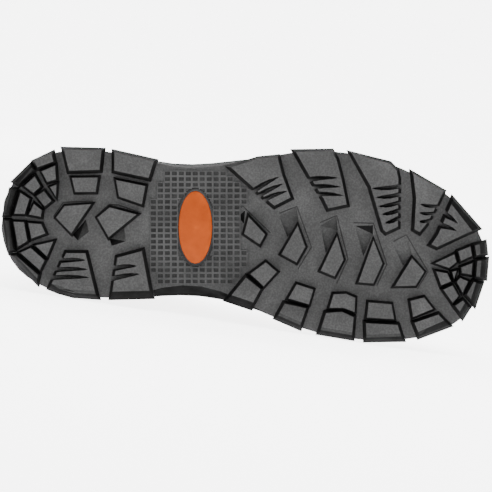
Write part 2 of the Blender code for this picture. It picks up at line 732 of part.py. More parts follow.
class UpperSurface:
    """The outer surface of the upper as a grid of points with outward normals."""

    def __init__(self):
        self.sections, self.rows = upper_sections()
        self.points = {}
        for i, section in enumerate(self.sections):
            throat = min(0.4, 0.5 * THROAT_WIDTH / max(section.half_length(), 0.05))
            for j in range(-HALF_COLUMNS, HALF_COLUMNS + 1):
                k = abs(j)
                if k <= THROAT_COLUMN:
                    from_top = throat * k / THROAT_COLUMN
                else:
                    from_top = throat + (1 - throat) * (k - THROAT_COLUMN) / (
                        HALF_COLUMNS - THROAT_COLUMN)
                side = -1 if j < 0 else 1
                self.points[self.key(i, j)] = section.point(side, 1 - from_top)
        bm = bmesh.new()
        verts = {key: bm.verts.new(point) for key, point in self.points.items()}
        self.add_faces(bm, verts, 0, len(self.sections) - 1, lambda i, j: True)
        bm.normal_update()
        self.normals = {key: vert.normal.copy() for key, vert in verts.items()}
        bm.free()

    def key(self, i, j):
        if i == 0:
            return (0, 0)
        if self.sections[i].closed and j == -HALF_COLUMNS:
            return (i, HALF_COLUMNS)
        return (i, j)

    def add_faces(self, bm, verts, first, last, wanted):
        for i in range(first, last):
            for j in range(-HALF_COLUMNS, HALF_COLUMNS):
                if not wanted(i, j):
                    continue
                corners = []
                for key in (self.key(i, j), self.key(i, j + 1), self.key(i + 1, j + 1),
                            self.key(i + 1, j)):
                    if key not in corners:
                        corners.append(key)
                if len(corners) > 2:
                    bm.faces.new([verts[key] for key in corners])

    def at(self, position, j):
        """Point and normal in a column, between two rows."""
        low = min(int(position), len(self.sections) - 2)
        share = position - low
        first, second = self.key(low, j), self.key(low + 1, j)
        point = self.points[first].lerp(self.points[second], share)
        return point, self.normals[first].lerp(self.normals[second], share).normalized()

    def is_foot(self, key):
        i, j = key
        return i == 0 or (abs(j) == HALF_COLUMNS and i <= self.rows["heel end"])

    def patch(self, first, last, wanted, offset, lift=0.0):
        """An open sheet over part of the grid; offset may depend on the row."""
        used = set()
        for i in range(first, last):
            for j in range(-HALF_COLUMNS, HALF_COLUMNS):
                if wanted(i, j):
                    used.update((self.key(i, j), self.key(i, j + 1), self.key(i + 1, j),
                                 self.key(i + 1, j + 1)))
        bm = bmesh.new()
        verts = {}
        for key in sorted(used):
            distance = offset(key[0]) if callable(offset) else offset
            normal = self.normals[key].copy()
            if self.is_foot(key):
                normal.z = max(normal.z, 0.0)
                normal.normalize()
            point = self.points[key] + normal * distance
            if self.is_foot(key):
                round_end = self.sections[key[0]].foot_half / (0.5 * COLLAR_WIDTH)
                point.z += lift * max(0.5, min(1.0, round_end))
            verts[key] = bm.verts.new(point)
        self.add_faces(bm, verts, first, last, wanted)
        return bm


def band(first_column, last_column):
    """Columns between two distances from the top line, on both sides."""
    def wanted(i, j):
        k = j if j >= 0 else -j - 1
        return first_column <= k < last_column
    return wanted


# Upper pieces

def build_upper(surface, parts, frame, materials):
    last = len(surface.sections) - 1
    throat = surface.rows["vamp"] + 1

    def body(i, j):
        return not (i >= throat and -THROAT_COLUMN <= j < THROAT_COLUMN)

    item = add_mesh("upper", surface.patch(0, last, body, 0.0), parts, frame,
                    materials["leather"], smooth=True)
    solidify(item, UPPER_WALL, -1.0)

    rows = surface.rows
    overlays = (
        ("toe_cap", 0, rows["cap edge"], band(0, HALF_COLUMNS), TOE_CAP_STANDOFF,
         "leather_dark"),
        ("backstay", rows["achilles low"] + 1, rows["collar base"] - 1,
         band(12, HALF_COLUMNS), GAP, "leather_dark"),
    )
    for name, first, final, wanted, offset, slot in overlays:
        item = add_mesh(name, surface.patch(first, final, wanted, offset, OVERLAY_LIFT), parts,
                        frame, materials[slot], smooth=True)
        solidify(item, OVERLAY_THICKNESS, 1.0)

    for name, side in (("eyestay_lateral", -1), ("eyestay_medial", 1)):
        def facing(i, j, side=side):
            k = j if j >= 0 else -j - 1
            return THROAT_COLUMN <= k < THROAT_COLUMN + 2 and (j >= 0) == (side > 0)
        item = add_mesh(name, surface.patch(throat, rows["collar base"] - 1, facing, GAP), parts,
                        frame, materials["leather_dark"], smooth=True)
        solidify(item, OVERLAY_THICKNESS, 1.0)

    item = add_mesh("collar", surface.patch(rows["collar base"], last,
                                            band(THROAT_COLUMN, HALF_COLUMNS), GAP),
                    parts, frame, materials["collar"], smooth=True)
    solidify(item, COLLAR_THICKNESS, 1.0)


def side_prism(name, outline, cutters, frame):
    """A prism through the whole boot with an outline drawn in side view."""
    bm = bmesh.new()
    face = bm.faces.new([bm.verts.new((x, -BALL_WIDTH, z)) for x, z in outline])
    moved = bmesh.ops.extrude_face_region(bm, geom=[face])["geom"]
    bmesh.ops.translate(bm, vec=(0.0, 2 * BALL_WIDTH, 0.0),
                        verts=[v for v in moved if isinstance(v, bmesh.types.BMVert)])
    bmesh.ops.recalc_face_normals(bm, faces=bm.faces)
    return add_mesh(name, bm, cutters, frame, None)


def build_counter(surface, parts, cutters, frame, material):
    """The heel counter, a sheet over the heel cut to an arched top edge."""
    rows = surface.rows
    sheet = surface.patch(rows["instep"], rows["collar base"], band(4, HALF_COLUMNS), COUNTER_STANDOFF,
                          OVERLAY_LIFT)
    item = add_mesh("heel_counter", sheet, parts, frame, material, smooth=True)
    solidify(item, OVERLAY_THICKNESS, 1.0)
    steps = 16
    outline = [(-UPPER_INSET, 0.0)]
    for k in range(steps + 1):
        x = -UPPER_INSET + (COUNTER_LENGTH + UPPER_INSET) * k / steps
        outline.append((x, HEEL_HEIGHT + COUNTER_HEIGHT * (1.0 - (x / COUNTER_LENGTH) ** 2)))
    outline.append((COUNTER_LENGTH, 0.0))
    boolean(item, side_prism("counter_outline", outline, cutters, frame), "INTERSECT")


def build_tongue(surface, parts, frame, material):
    last = len(surface.sections) - 1
    first = surface.rows["vamp"] - 1
    inward = -(UPPER_WALL + 2 * GAP)
    bm = surface.patch(first, last, band(0, THROAT_COLUMN + 2), inward)
    bm.verts.ensure_lookup_table()
    top = {}
    for j in range(-THROAT_COLUMN - 2, THROAT_COLUMN + 3):
        key = surface.key(last, j)
        here = surface.points[key] + surface.normals[key] * inward
        below_key = surface.key(last - 1, j)
        below = surface.points[below_key] + surface.normals[below_key] * inward
        rise = Vector((0.0, 0.0, 1.0)).lerp((here - below).normalized(), 0.5).normalized()
        top[j] = (here, here + rise * TONGUE_OVERHANG)
    found = {}
    for vert in bm.verts:
        for j, (here, _) in top.items():
            if (vert.co - here).length < 1e-7:
                found[j] = vert
    raised = {j: bm.verts.new(point) for j, (_, point) in top.items()}
    for j in range(-THROAT_COLUMN - 2, THROAT_COLUMN + 2):
        bm.faces.new((found[j], found[j + 1], raised[j + 1], raised[j]))
    item = add_mesh("tongue", bm, parts, frame, material, smooth=True)
    solidify(item, TONGUE_THICKNESS, -1.0)


def build_guard(surface, parts, cutters, frame, material):
    """The ribbed shield over the instep, close to the vamp in front and raised behind."""
    first = surface.rows["cap edge"] + 1
    last = surface.rows["instep"] + 1
    near = 2 * GAP

    def offset(i):
        share = min(1.0, (i - first) / 3.0)
        rib = GUARD_RIB_RISE if (i - first) % 2 and i < last else 0.0
        return near + (GUARD_STANDOFF - near) * share + rib

    item = add_mesh("met_guard", surface.patch(first, last, band(0, 7), offset), parts, frame,
                    material, smooth=True)
    solidify(item, GUARD_THICKNESS, 1.0)
    rise = SHAFT_HEIGHT - HEEL_HEIGHT
    outline = [(x * SOLE_LENGTH, HEEL_HEIGHT + z * rise) for x, z in GUARD_OUTLINE]
    boolean(item, side_prism("guard_outline", outline, cutters, frame), "INTERSECT")


def eyelet_rows(surface):
    """Row positions of the eyelet pairs, evenly spaced up the throat edge."""
    first = surface.rows["instep"] + 2
    last = surface.rows["collar base"] - 1
    travelled = [0.0]
    for i in range(first, last):
        step = surface.at(i + 1, THROAT_COLUMN)[0] - surface.at(i, THROAT_COLUMN)[0]
        travelled.append(travelled[-1] + step.length)
    margin = EYELET_RADIUS + GAP
    usable = travelled[-1] - 2 * margin
    goals = [margin + usable * k / (EYELET_PAIRS - 1) for k in range(EYELET_PAIRS)]
    rows = list(range(first, last + 1))
    result = []
    for goal in goals:
        index = max(k for k in range(len(rows) - 1) if travelled[k] <= goal)
        span = travelled[index + 1] - travelled[index]
        result.append(rows[index] + min(1.0, (goal - travelled[index]) / span))
    return result


def build_eyelets(surface, parts, frame, material):
    for number, i in enumerate(eyelet_rows(surface), 1):
        for side_name, side in (("lateral", -1), ("medial", 1)):
            point, normal = surface.at(i, side * (THROAT_COLUMN + 1))
            lift = 2 * GAP + OVERLAY_THICKNESS + EYELET_WIRE
            bpy.ops.mesh.primitive_torus_add(major_segments=10, minor_segments=4,
                                             major_radius=EYELET_RADIUS - EYELET_WIRE,
                                             minor_radius=EYELET_WIRE)
            item = bpy.context.object
            item.name = "eyelet_%s_%d" % (side_name, number)
            item.data.name = item.name
            item.location = point + normal * lift
            item.rotation_euler = normal.to_track_quat("Z", "Y").to_euler()
            item.data.materials.append(material)
            for owner in list(item.users_collection):
                owner.objects.unlink(item)
            parts.objects.link(item)
            item.parent = frame


def build_lace(surface, parts, frame, material):
    """One cord that crosses the throat at each pair of eyelets and climbs between them."""
    lift = OVERLAY_THICKNESS + 2 * GAP + LACE_RADIUS
    columns = list(range(-THROAT_COLUMN, THROAT_COLUMN + 1))
    path = []
    for number, i in enumerate(eyelet_rows(surface)):
        order = columns if number % 2 == 0 else columns[::-1]
        for j in order:
            point, normal = surface.at(i, j)
            path.append(point + normal * lift)
    curve = bpy.data.curves.new("lace", "CURVE")
    curve.dimensions = "3D"
    curve.bevel_depth = LACE_RADIUS
    curve.bevel_resolution = 2
    curve.use_fill_caps = True
    spline = curve.splines.new("POLY")
    spline.points.add(len(path) - 1)
    for target, point in zip(spline.points, path):
        target.co = (*point, 1.0)
    item = bpy.data.objects.new("lace", curve)
    parts.objects.link(item)
    item.parent = frame
    curve.materials.append(material)


def build_pull_loop(surface, parts, frame, material):
    """A webbing loop over the back of the collar, one leg outside and one inside."""
    last = len(surface.sections) - 1
    collar = surface.points[surface.key(last, HALF_COLUMNS)]
    lower = surface.points[surface.key(last - 2, HALF_COLUMNS)]
    lean = (collar - lower).normalized()
    across = Vector((lean.z, 0.0, -lean.x))
    outer = -(2 * GAP + COLLAR_THICKNESS + 0.5 * PULL_LOOP_THICKNESS)
    inner = UPPER_WALL + 2 * GAP + 0.5 * PULL_LOOP_THICKNESS + PULL_LOOP_SLACK
    middle = 0.5 * (outer + inner)
    radius = 0.5 * (inner - outer)
    path = [(outer, -PULL_LOOP_LEG)]
    for k in range(9):
        angle = math.pi * (1 - k / 8)
        path.append((middle + radius * math.cos(angle),
                     (PULL_LOOP_RISE - radius) + radius * math.sin(angle)))
    path.append((inner, -PULL_LOOP_LEG))
    bm = bmesh.new()
    sides = []
    for half in (-0.5, 0.5):
        line = []
        for a, h in path:
            point = collar + across * a + lean * h
            point.y += half * PULL_LOOP_WIDTH
            line.append(bm.verts.new(point))
        sides.append(line)
    for k in range(len(path) - 1):
        bm.faces.new((sides[0][k], sides[1][k], sides[1][k + 1], sides[0][k + 1]))
    item = add_mesh("pull_loop", bm, parts, frame, material)
    solidify(item, PULL_LOOP_THICKNESS, 0.0)


# Lying pose

def world_points(parts):
    graph = bpy.context.evaluated_depsgraph_get()
    points = []
    for item in parts.objects:
        evaluated = item.evaluated_get(graph)
        mesh = evaluated.to_mesh()
        points += [item.matrix_world @ vert.co for vert in mesh.vertices]
        evaluated.to_mesh_clear()
    return points


def lay_down(frame, parts):
    """Lay the boot on the medial facet of its hull that lies under its middle."""
    bpy.context.view_layer.update()
    points = world_points(parts)
    bm = bmesh.new()
    for point in points:
        bm.verts.new(point)
    result = bmesh.ops.convex_hull(bm, input=bm.verts)
    faces = [item for item in result["geom"] if isinstance(item, bmesh.types.BMFace)]
    along, across, up = BOOT_MIDDLE
    centre = Vector((along * SOLE_LENGTH, across * BALL_WIDTH, up * SHAFT_HEIGHT))
    best = None
    for face in faces:
        face.normal_update()
        normal = face.normal
        if (face.calc_center_median() - centre).dot(normal) < 0.0:
            normal = -normal
        if normal.y < 0.8:
            continue
        distance = (face.verts[0].co - centre).dot(normal)
        foot = centre + normal * distance
        inside = inside_face(foot, face, normal)
        if best is None or inside > best[0]:
            best = (inside, normal.copy())
    bm.free()
    normal = best[1]
    down = Vector((0.0, 0.0, -1.0))
    along = Vector((1.0, 0.0, 0.0)) - normal * normal.x
    along.normalize()
    third = normal.cross(along)
    source = Matrix((along, third, normal)).transposed()
    target = Matrix((Vector((1.0, 0.0, 0.0)), down.cross(Vector((1.0, 0.0, 0.0))),
                     down)).transposed()
    turn = target @ source.inverted()
    turned = [turn @ point for point in points]
    low = [min(p[k] for p in turned) for k in range(3)]
    high = [max(p[k] for p in turned) for k in range(3)]
    shift = Vector((-0.5 * (low[0] + high[0]), -0.5 * (low[1] + high[1]), -low[2]))
    frame.rotation_euler = turn.to_euler()
    frame.location = shift
    bpy.context.view_layer.update()


def inside_face(point, face, normal):
    """Smallest signed distance of a point inside the face's edges."""
    corners = [vert.co for vert in face.verts]
    middle = sum(corners, Vector()) / len(corners)
    distances = []
    for a, b in zip(corners, corners[1:] + corners[:1]):
        inward = normal.cross(b - a).normalized()
        if inward.dot(middle - a) < 0.0:
            inward = -inward
        distances.append(inward.dot(point - a))
    return min(distances)


def main():
    clear_scene()
    parts = new_collection("metatarsal_guard_boot")
    cutters = new_collection("cutters")
    materials = {
        "rubber": new_material("sole_rubber", (0.055, 0.055, 0.058), 0.62),
        "rubber_side": new_material("side_rubber", (0.035, 0.035, 0.037), 0.60),
        "badge": new_material("badge_orange", (0.62, 0.17, 0.035), 0.55),
        "leather": new_material("upper_leather", (0.085, 0.048, 0.030), 0.55),
        "leather_dark": new_material("overlay_leather", (0.060, 0.036, 0.025), 0.50),
        "collar": new_material("collar_fabric", (0.030, 0.028, 0.028), 0.85),
        "tongue": new_material("tongue_leather", (0.070, 0.042, 0.028), 0.60),
        "guard": new_material("guard_polymer", (0.030, 0.028, 0.028), 0.50),
        "insole": new_material("insole_foam", (0.045, 0.045, 0.048), 0.90),
        "metal": new_material("eyelet_metal", (0.20, 0.17, 0.12), 0.35, 1.0),
        "lace": new_material("lace_cord", (0.050, 0.038, 0.030), 0.80),
        "loop": new_material("loop_webbing", (0.030, 0.028, 0.028), 0.85),
    }
    frame = bpy.data.objects.new("boot_frame", None)
    bpy.context.scene.collection.objects.link(frame)
    surface = UpperSurface()
    build_outsole(parts, cutters, frame, materials["rubber"])
    build_badge(parts, frame, materials["badge"])
    build_layers(parts, frame, materials)
    build_upper(surface, parts, frame, materials)
    build_counter(surface, parts, cutters, frame, materials["leather_dark"])
    build_tongue(surface, parts, frame, materials["tongue"])
    build_guard(surface, parts, cutters, frame, materials["guard"])
    build_eyelets(surface, parts, frame, materials["metal"])
    build_lace(surface, parts, frame, materials["lace"])
    build_pull_loop(surface, parts, frame, materials["loop"])
    for cutter in cutters.objects:
        cutter.hide_render = True
        cutter.display_type = "WIRE"
    lay_down(frame, parts)


main()
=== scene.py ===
import math

import bmesh
import bpy
from mathutils import Matrix, Vector
from mathutils.bvhtree import BVHTree


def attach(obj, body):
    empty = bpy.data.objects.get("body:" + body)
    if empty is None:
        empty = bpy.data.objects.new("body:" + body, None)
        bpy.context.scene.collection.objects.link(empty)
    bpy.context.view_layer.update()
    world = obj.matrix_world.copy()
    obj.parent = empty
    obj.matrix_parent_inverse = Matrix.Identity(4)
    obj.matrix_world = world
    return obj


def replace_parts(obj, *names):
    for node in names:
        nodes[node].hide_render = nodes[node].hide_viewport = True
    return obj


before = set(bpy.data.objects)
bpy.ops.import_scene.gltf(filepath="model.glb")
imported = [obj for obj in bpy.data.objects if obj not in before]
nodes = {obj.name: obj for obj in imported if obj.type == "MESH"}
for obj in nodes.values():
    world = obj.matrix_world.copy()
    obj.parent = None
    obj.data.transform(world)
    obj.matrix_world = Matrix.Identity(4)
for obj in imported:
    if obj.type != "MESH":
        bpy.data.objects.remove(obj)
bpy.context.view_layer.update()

# How the boot lies, and the sizes that the looks share with the solids
MM = 0.001
LIE = (Matrix.Translation((-0.155857, -0.099019, 0.040235))
       @ Matrix.Rotation(math.radians(-3.91397), 4, "Y")
       @ Matrix.Rotation(math.radians(-92.69684), 4, "X"))
STAND = LIE.inverted()
TURN = LIE.to_3x3()
STAND_TURN = STAND.to_3x3()
SOLE_DOWN = (TURN @ Vector((0.0, 0.0, -1.0))).normalized()

# Sizes of the standing boot, in mm
SOLE_LENGTH = 312.0
BALL_WIDTH = 120.0
HEEL_HEIGHT = 34.0
COUNTER_HEIGHT = 56.0
COUNTER_LENGTH = 84.0
AXIS_Y = -5.0
BELOW_SOLE = -20.0
SHAFT_X = 70.0
FORWARD_SLOPE = (0.68, 0.0, 0.73)


def lie(x, y, z):
    """World place of a point in the standing boot, x heel to toe, y to the big toe, z up, in mm."""
    return LIE @ Vector((x * MM, y * MM, z * MM))


def lie_way(x, y, z):
    """World direction of a direction in the standing boot."""
    return (TURN @ Vector((x, y, z))).normalized()


# Camera, at the photo's angle to the sole
TILT = math.radians(4.8)
FRAME_WIDTH = 0.3104
FRAME_CENTRE = (0.1565, 0.0013, 0.004)
LENS = 220.0
SENSOR_WIDTH = 36.0
ACROSS = Vector((math.cos(TILT), -math.sin(TILT)))
DOWNWARDS = Vector((math.sin(TILT), math.cos(TILT)))


def set_camera():
    turn = Matrix((ACROSS.to_3d(), -DOWNWARDS.to_3d(), Vector((0.0, 0.0, -1.0)))).transposed()
    data = bpy.data.cameras.new("photo_camera")
    data.lens = LENS
    camera = bpy.data.objects.new("photo_camera", data)
    bpy.context.scene.collection.objects.link(camera)
    centre = Vector(FRAME_CENTRE) - Vector((0.0, 0.0, FRAME_WIDTH * LENS / SENSOR_WIDTH))
    camera.matrix_world = LIE @ (Matrix.Translation(centre) @ turn.to_4x4())
    bpy.context.scene.camera = camera


def set_light(name, place_at, aim, size, power):
    data = bpy.data.lights.new(name, "AREA")
    data.shape = "RECTANGLE"
    data.size, data.size_y = size
    data.energy = power
    light = bpy.data.objects.new(name, data)
    bpy.context.scene.collection.objects.link(light)
    light.location = place_at
    light.rotation_euler = (Vector(place_at) - Vector(aim)).to_track_quat("Z", "Y").to_euler()


def set_studio():
    world = bpy.data.worlds.new("studio")
    bpy.context.scene.world = world
    world.use_nodes = True
    world.node_tree.nodes["Background"].inputs["Color"].default_value = (1.0, 1.0, 1.0, 1.0)
    world.node_tree.nodes["Background"].inputs["Strength"].default_value = 0.55
    set_light("overhead_softbox", (0.05, -0.30, 1.0), (0.0, -0.05, 0.05), (1.4, 0.9), 17.0)
    set_light("front_fill", (-0.35, -1.6, 0.5), (0.0, 0.0, 0.06), (1.2, 0.8), 4.0)


# Floor and backdrop, in m
FLOOR_REACH = 6.0
CURVE_START = 3.4
CURVE_RADIUS = 1.2
CURVE_STEPS = 12


def set_floor():
    """A pale floor that curves up into the backdrop."""
    bm = bmesh.new()
    profile = [(-FLOOR_REACH, 0.0), (CURVE_START, 0.0)]
    for k in range(1, CURVE_STEPS + 1):
        angle = 0.5 * math.pi * k / CURVE_STEPS
        profile.append((CURVE_START + CURVE_RADIUS * math.sin(angle),
                        CURVE_RADIUS - CURVE_RADIUS * math.cos(angle)))
    profile.append((CURVE_START + CURVE_RADIUS, FLOOR_REACH))
    line = [bm.verts.new((-FLOOR_REACH, y, z)) for y, z in profile]
    edges = [bm.edges.new(pair) for pair in zip(line[:-1], line[1:])]
    moved = bmesh.ops.extrude_edge_only(bm, edges=edges)["geom"]
    bmesh.ops.translate(bm, vec=(2.0 * FLOOR_REACH, 0.0, 0.0),
                        verts=[v for v in moved if isinstance(v, bmesh.types.BMVert)])
    mesh = bpy.data.meshes.new("studio_floor")
    bm.to_mesh(mesh)
    bm.free()
    for polygon in mesh.polygons:
        polygon.use_smooth = True
    floor = bpy.data.objects.new("studio_floor", mesh)
    bpy.context.scene.collection.objects.link(floor)
    mesh.materials.append(pale_floor())


# Materials

class Finish:
    """A procedural material on Object coordinates."""

    def __init__(self, name):
        self.material = bpy.data.materials.new(name)
        self.material.use_nodes = True
        self.tree = self.material.node_tree
        self.shader = self.tree.nodes["Principled BSDF"]
        self.coords = self.tree.nodes.new("ShaderNodeTexCoord").outputs["Object"]

    def set(self, **values):
        for socket, value in values.items():
            self.shader.inputs[socket.replace("_", " ")].default_value = value
        return self

    def feed(self, socket, value):
        if isinstance(value, bpy.types.NodeSocket):
            self.tree.links.new(value, socket)
        elif isinstance(value, tuple) and len(value) == 3 and socket.type == "RGBA":
            socket.default_value = (*value, 1.0)
        else:
            socket.default_value = value

    def node(self, kind, inputs=None, **settings):
        made = self.tree.nodes.new(kind)
        for key, value in settings.items():
            setattr(made, key, value)
        for socket, value in (inputs or {}).items():
            self.feed(made.inputs[socket], value)
        return made

    def noise(self, scale, detail=4.0, rough=0.6, stretch=None):
        return self.node("ShaderNodeTexNoise", {"Vector": self.stretched(stretch), "Scale": scale,
                                                "Detail": detail, "Roughness": rough}).outputs["Fac"]

    def stretched(self, stretch):
        if stretch is None:
            return self.coords
        return self.node("ShaderNodeMapping", {"Vector": self.coords,
                                               "Scale": stretch}).outputs["Vector"]

    def cells(self, scale, **settings):
        return self.node("ShaderNodeTexVoronoi", {"Vector": self.coords, "Scale": scale},
                         **settings).outputs["Distance"]

    def ramp(self, value, *stops):
        made = self.node("ShaderNodeValToRGB", {"Fac": value})
        ramp = made.color_ramp
        while len(ramp.elements) < len(stops):
            ramp.elements.new(0.5)
        for element, (position, colour) in zip(ramp.elements, stops):
            element.position = position
            element.color = (*(colour if isinstance(colour, tuple) else (colour,) * 3), 1.0)
        return made.outputs["Color"]

    def mix(self, share, first, second, blend="MIX"):
        made = self.node("ShaderNodeMix", data_type="RGBA", blend_type=blend)
        for index, value in ((0, share), (6, first), (7, second)):
            self.feed(made.inputs[index], value)
        return made.outputs[2]

    def sums(self, operation, first, second):
        made = self.node("ShaderNodeMath", operation=operation)
        self.feed(made.inputs[0], first)
        self.feed(made.inputs[1], second)
        return made.outputs[0]

    def span(self, value, low, high, to_low=0.0, to_high=1.0):
        return self.node("ShaderNodeMapRange", {"Value": value, "From Min": low, "From Max": high,
                                                "To Min": to_low,
                                                "To Max": to_high}).outputs["Result"]

    def facing(self, direction):
        """How squarely the surface faces a direction."""
        geometry = self.node("ShaderNodeNewGeometry")
        made = self.node("ShaderNodeVectorMath", operation="DOT_PRODUCT")
        self.tree.links.new(geometry.outputs["True Normal"], made.inputs[0])
        made.inputs[1].default_value = direction
        return made.outputs["Value"]

    def finish(self, colour, rough, height=None, strength=0.3, distance=0.0004):
        self.feed(self.shader.inputs["Base Color"], colour)
        self.feed(self.shader.inputs["Roughness"], rough)
        if height is not None:
            bump = self.node("ShaderNodeBump", {"Height": height, "Strength": strength,
                                                "Distance": distance})
            self.tree.links.new(bump.outputs["Normal"], self.shader.inputs["Normal"])
        return self.material


def pale_floor():
    floor = Finish("pale_floor")
    floor.shader.inputs["Emission Color"].default_value = (1.0, 1.0, 1.0, 1.0)
    floor.shader.inputs["Emission Strength"].default_value = 4.5
    return floor.finish((0.94, 0.94, 0.94), 0.9)


def tread_rubber():
    """Black rubber, greyed by dust where it faces the ground, with painted shade making the lug
    walls near-black.
    """
    rubber = Finish("tread_rubber").set(Specular_IOR_Level=0.04)
    # 1 where the face looks at the ground (dust), 0 on the lug walls (painted shade)
    flat = rubber.span(rubber.facing(SOLE_DOWN), 0.90, 0.975)
    blotches = rubber.noise(38.0, 5.0, 0.65)
    dust = rubber.ramp(blotches, (0.30, 0.029), (0.55, 0.037), (0.75, 0.049))
    # Painted shade: a near-black copy of the rubber for the lug walls
    wall_shade_painted = rubber.ramp(rubber.noise(90.0), (0.35, 0.002), (0.70, 0.006))
    speck = rubber.ramp(rubber.noise(900.0, 2.0), (0.42, 0.84), (0.62, 1.12))
    shade = rubber.mix(1.0, rubber.mix(flat, wall_shade_painted, dust), speck, "MULTIPLY")
    rough = rubber.span(blotches, 0.3, 0.7, 0.60, 0.80)
    grain = rubber.sums("ADD", rubber.noise(1400.0, 3.0),
                        rubber.sums("MULTIPLY", rubber.noise(220.0), 0.8))
    return rubber.finish(shade, rough, grain, 0.25, 0.0004)


def plain_rubber(name, dark, light, blotch=60.0, gloss=0.12):
    rubber = Finish(name).set(Specular_IOR_Level=gloss)
    shade = rubber.ramp(rubber.noise(blotch, 5.0), (0.32, dark), (0.70, light))
    rough = rubber.span(rubber.noise(45.0), 0.3, 0.7, 0.55, 0.78)
    return rubber.finish(shade, rough, rubber.noise(1300.0, 3.0), 0.25, 0.0003)


def badge_rubber():
    rubber = Finish("badge_rubber").set(Specular_IOR_Level=0.08)
    shade = rubber.ramp(rubber.noise(95.0, 4.0), (0.30, (0.18, 0.027, 0.0015)),
                        (0.60, (0.225, 0.036, 0.003)), (0.80, (0.28, 0.052, 0.007)))
    rough = rubber.span(rubber.noise(70.0), 0.3, 0.7, 0.38, 0.55)
    return rubber.finish(shade, rough, rubber.noise(700.0, 3.0), 0.2, 0.0003)


def oiled_leather(name, dark, mid, worn, grain=620.0):
    """Full-grain leather with pebbled grain, fine wrinkles and pulled-up pale wear."""
    leather = Finish(name).set(Specular_IOR_Level=0.20, Coat_Weight=0.02, Coat_Roughness=0.45)
    shade = leather.ramp(leather.noise(26.0, 6.0, 0.62), (0.30, dark), (0.55, mid), (0.80, worn))
    pebble = leather.cells(grain)
    tint = leather.ramp(pebble, (0.05, 0.72), (0.45, 1.08))
    rough = leather.span(leather.noise(70.0), 0.3, 0.72, 0.40, 0.66)
    wrinkle = leather.noise(95.0, 6.0, 0.7, (1.0, 2.6, 1.0))
    height = leather.sums("ADD", pebble, leather.sums("MULTIPLY", wrinkle, 1.2))
    return leather.finish(leather.mix(1.0, shade, tint, "MULTIPLY"), rough, height, 0.45, 0.0006)


def woven_cloth(name, dark, light, scale=900.0):
    cloth = Finish(name).set(Specular_IOR_Level=0.10, Sheen_Weight=0.05, Sheen_Roughness=0.5)
    weave = cloth.cells(scale, distance="CHEBYCHEV")
    shade = cloth.mix(cloth.noise(50.0), cloth.ramp(weave, (0.15, dark), (0.6, light)), light)
    rough = cloth.span(cloth.noise(40.0), 0.3, 0.7, 0.80, 0.95)
    return cloth.finish(shade, rough, weave, 0.5, 0.0005)


def moulded_guard():
    guard = Finish("moulded_guard").set(Specular_IOR_Level=0.12)
    shade = guard.ramp(guard.noise(40.0, 6.0), (0.30, (0.007, 0.007, 0.007)),
                       (0.60, (0.013, 0.012, 0.012)), (0.82, (0.034, 0.031, 0.028)))
    rough = guard.span(guard.noise(55.0), 0.3, 0.7, 0.42, 0.62)
    return guard.finish(shade, rough, guard.cells(1100.0), 0.35, 0.0004)


def aged_brass():
    brass = Finish("aged_brass").set(Metallic=1.0)
    shade = brass.ramp(brass.noise(300.0), (0.30, (0.16, 0.13, 0.09)), (0.70, (0.34, 0.28, 0.18)))
    rough = brass.span(brass.noise(260.0), 0.3, 0.7, 0.28, 0.50)
    return brass.finish(shade, rough, brass.noise(900.0), 0.15, 0.0002)


def seam_thread(name, colour):
    thread = Finish(name).set(Specular_IOR_Level=0.3)
    dull = tuple(0.6 * c for c in colour)
    shade = thread.ramp(thread.noise(1500.0), (0.35, dull), (0.65, colour))
    rough = thread.span(thread.noise(900.0), 0.3, 0.7, 0.6, 0.8)
    return thread.finish(shade, rough, thread.noise(2500.0), 0.4, 0.0002)


# Mesh helpers

def link(name, bm, material, smooth=40.0):
    """Make the piece, with smooth shading up to an angle."""
    mesh = bpy.data.meshes.new(name)
    bm.to_mesh(mesh)
    bm.free()
    mesh.polygons.foreach_set("use_smooth", [True] * len(mesh.polygons))
    mesh.set_sharp_from_angle(angle=math.radians(smooth))
    piece = bpy.data.objects.new(name, mesh)
    bpy.context.scene.collection.objects.link(piece)
    for item in (material if isinstance(material, list) else [material]):
        mesh.materials.append(materials[item])
    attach(piece, "root")
    return piece


def merged(node):
    """A welded copy of a CAD node."""
    bm = bmesh.new()
    bm.from_mesh(nodes[node].data)
    bmesh.ops.remove_doubles(bm, verts=bm.verts, dist=2e-6)
    return bm


def quads(bm):
    bmesh.ops.join_triangles(bm, faces=bm.faces, angle_face_threshold=math.radians(40.0),
                             angle_shape_threshold=math.radians(60.0))
    return bm


def edges_over(bm, degrees):
    """The edges where two faces meet at more than an angle."""
    return [edge for edge in bm.edges if len(edge.link_faces) == 2
            and edge.calc_face_angle(0.0) > math.radians(degrees)]


def round_over(bm, edges, offset, segments):
    """Round edges over by an offset in mm."""
    bmesh.ops.bevel(bm, geom=edges, offset=offset * MM, offset_type="OFFSET", segments=segments,
                    profile=0.5, affect="EDGES", material=-1, clamp_overlap=True)


def flattened(bm, degrees):
    """Merge the faces that lie within an angle of each other."""
    bmesh.ops.dissolve_limit(bm, angle_limit=math.radians(degrees), verts=bm.verts, edges=bm.edges)


def surface_of(*names):
    """One lookup surface of several CAD nodes."""
    bm = bmesh.new()
    for name in names:
        bm.from_mesh(nodes[name].data)
    tree = BVHTree.FromBMesh(bm)
    bm.free()
    return tree


def holder_of(name, bm):
    mesh = bpy.data.meshes.new(name)
    bm.to_mesh(mesh)
    bm.free()
    holder = bpy.data.objects.new(name, mesh)
    bpy.context.scene.collection.objects.link(holder)
    return holder


def evaluated(holder):
    """The holder's mesh after its modifiers; the holder is taken away."""
    bpy.context.view_layer.update()
    graph = bpy.context.evaluated_depsgraph_get()
    result = bmesh.new()
    result.from_mesh(holder.evaluated_get(graph).to_mesh())
    bpy.data.objects.remove(holder, do_unlink=True)
    return result


def refined(bm, levels):
    """The mesh after that many smooth subdivisions."""
    holder = holder_of("refining", bm)
    modifier = holder.modifiers.new("Smooth", "SUBSURF")
    modifier.levels = levels
    modifier.render_levels = levels
    return evaluated(holder)


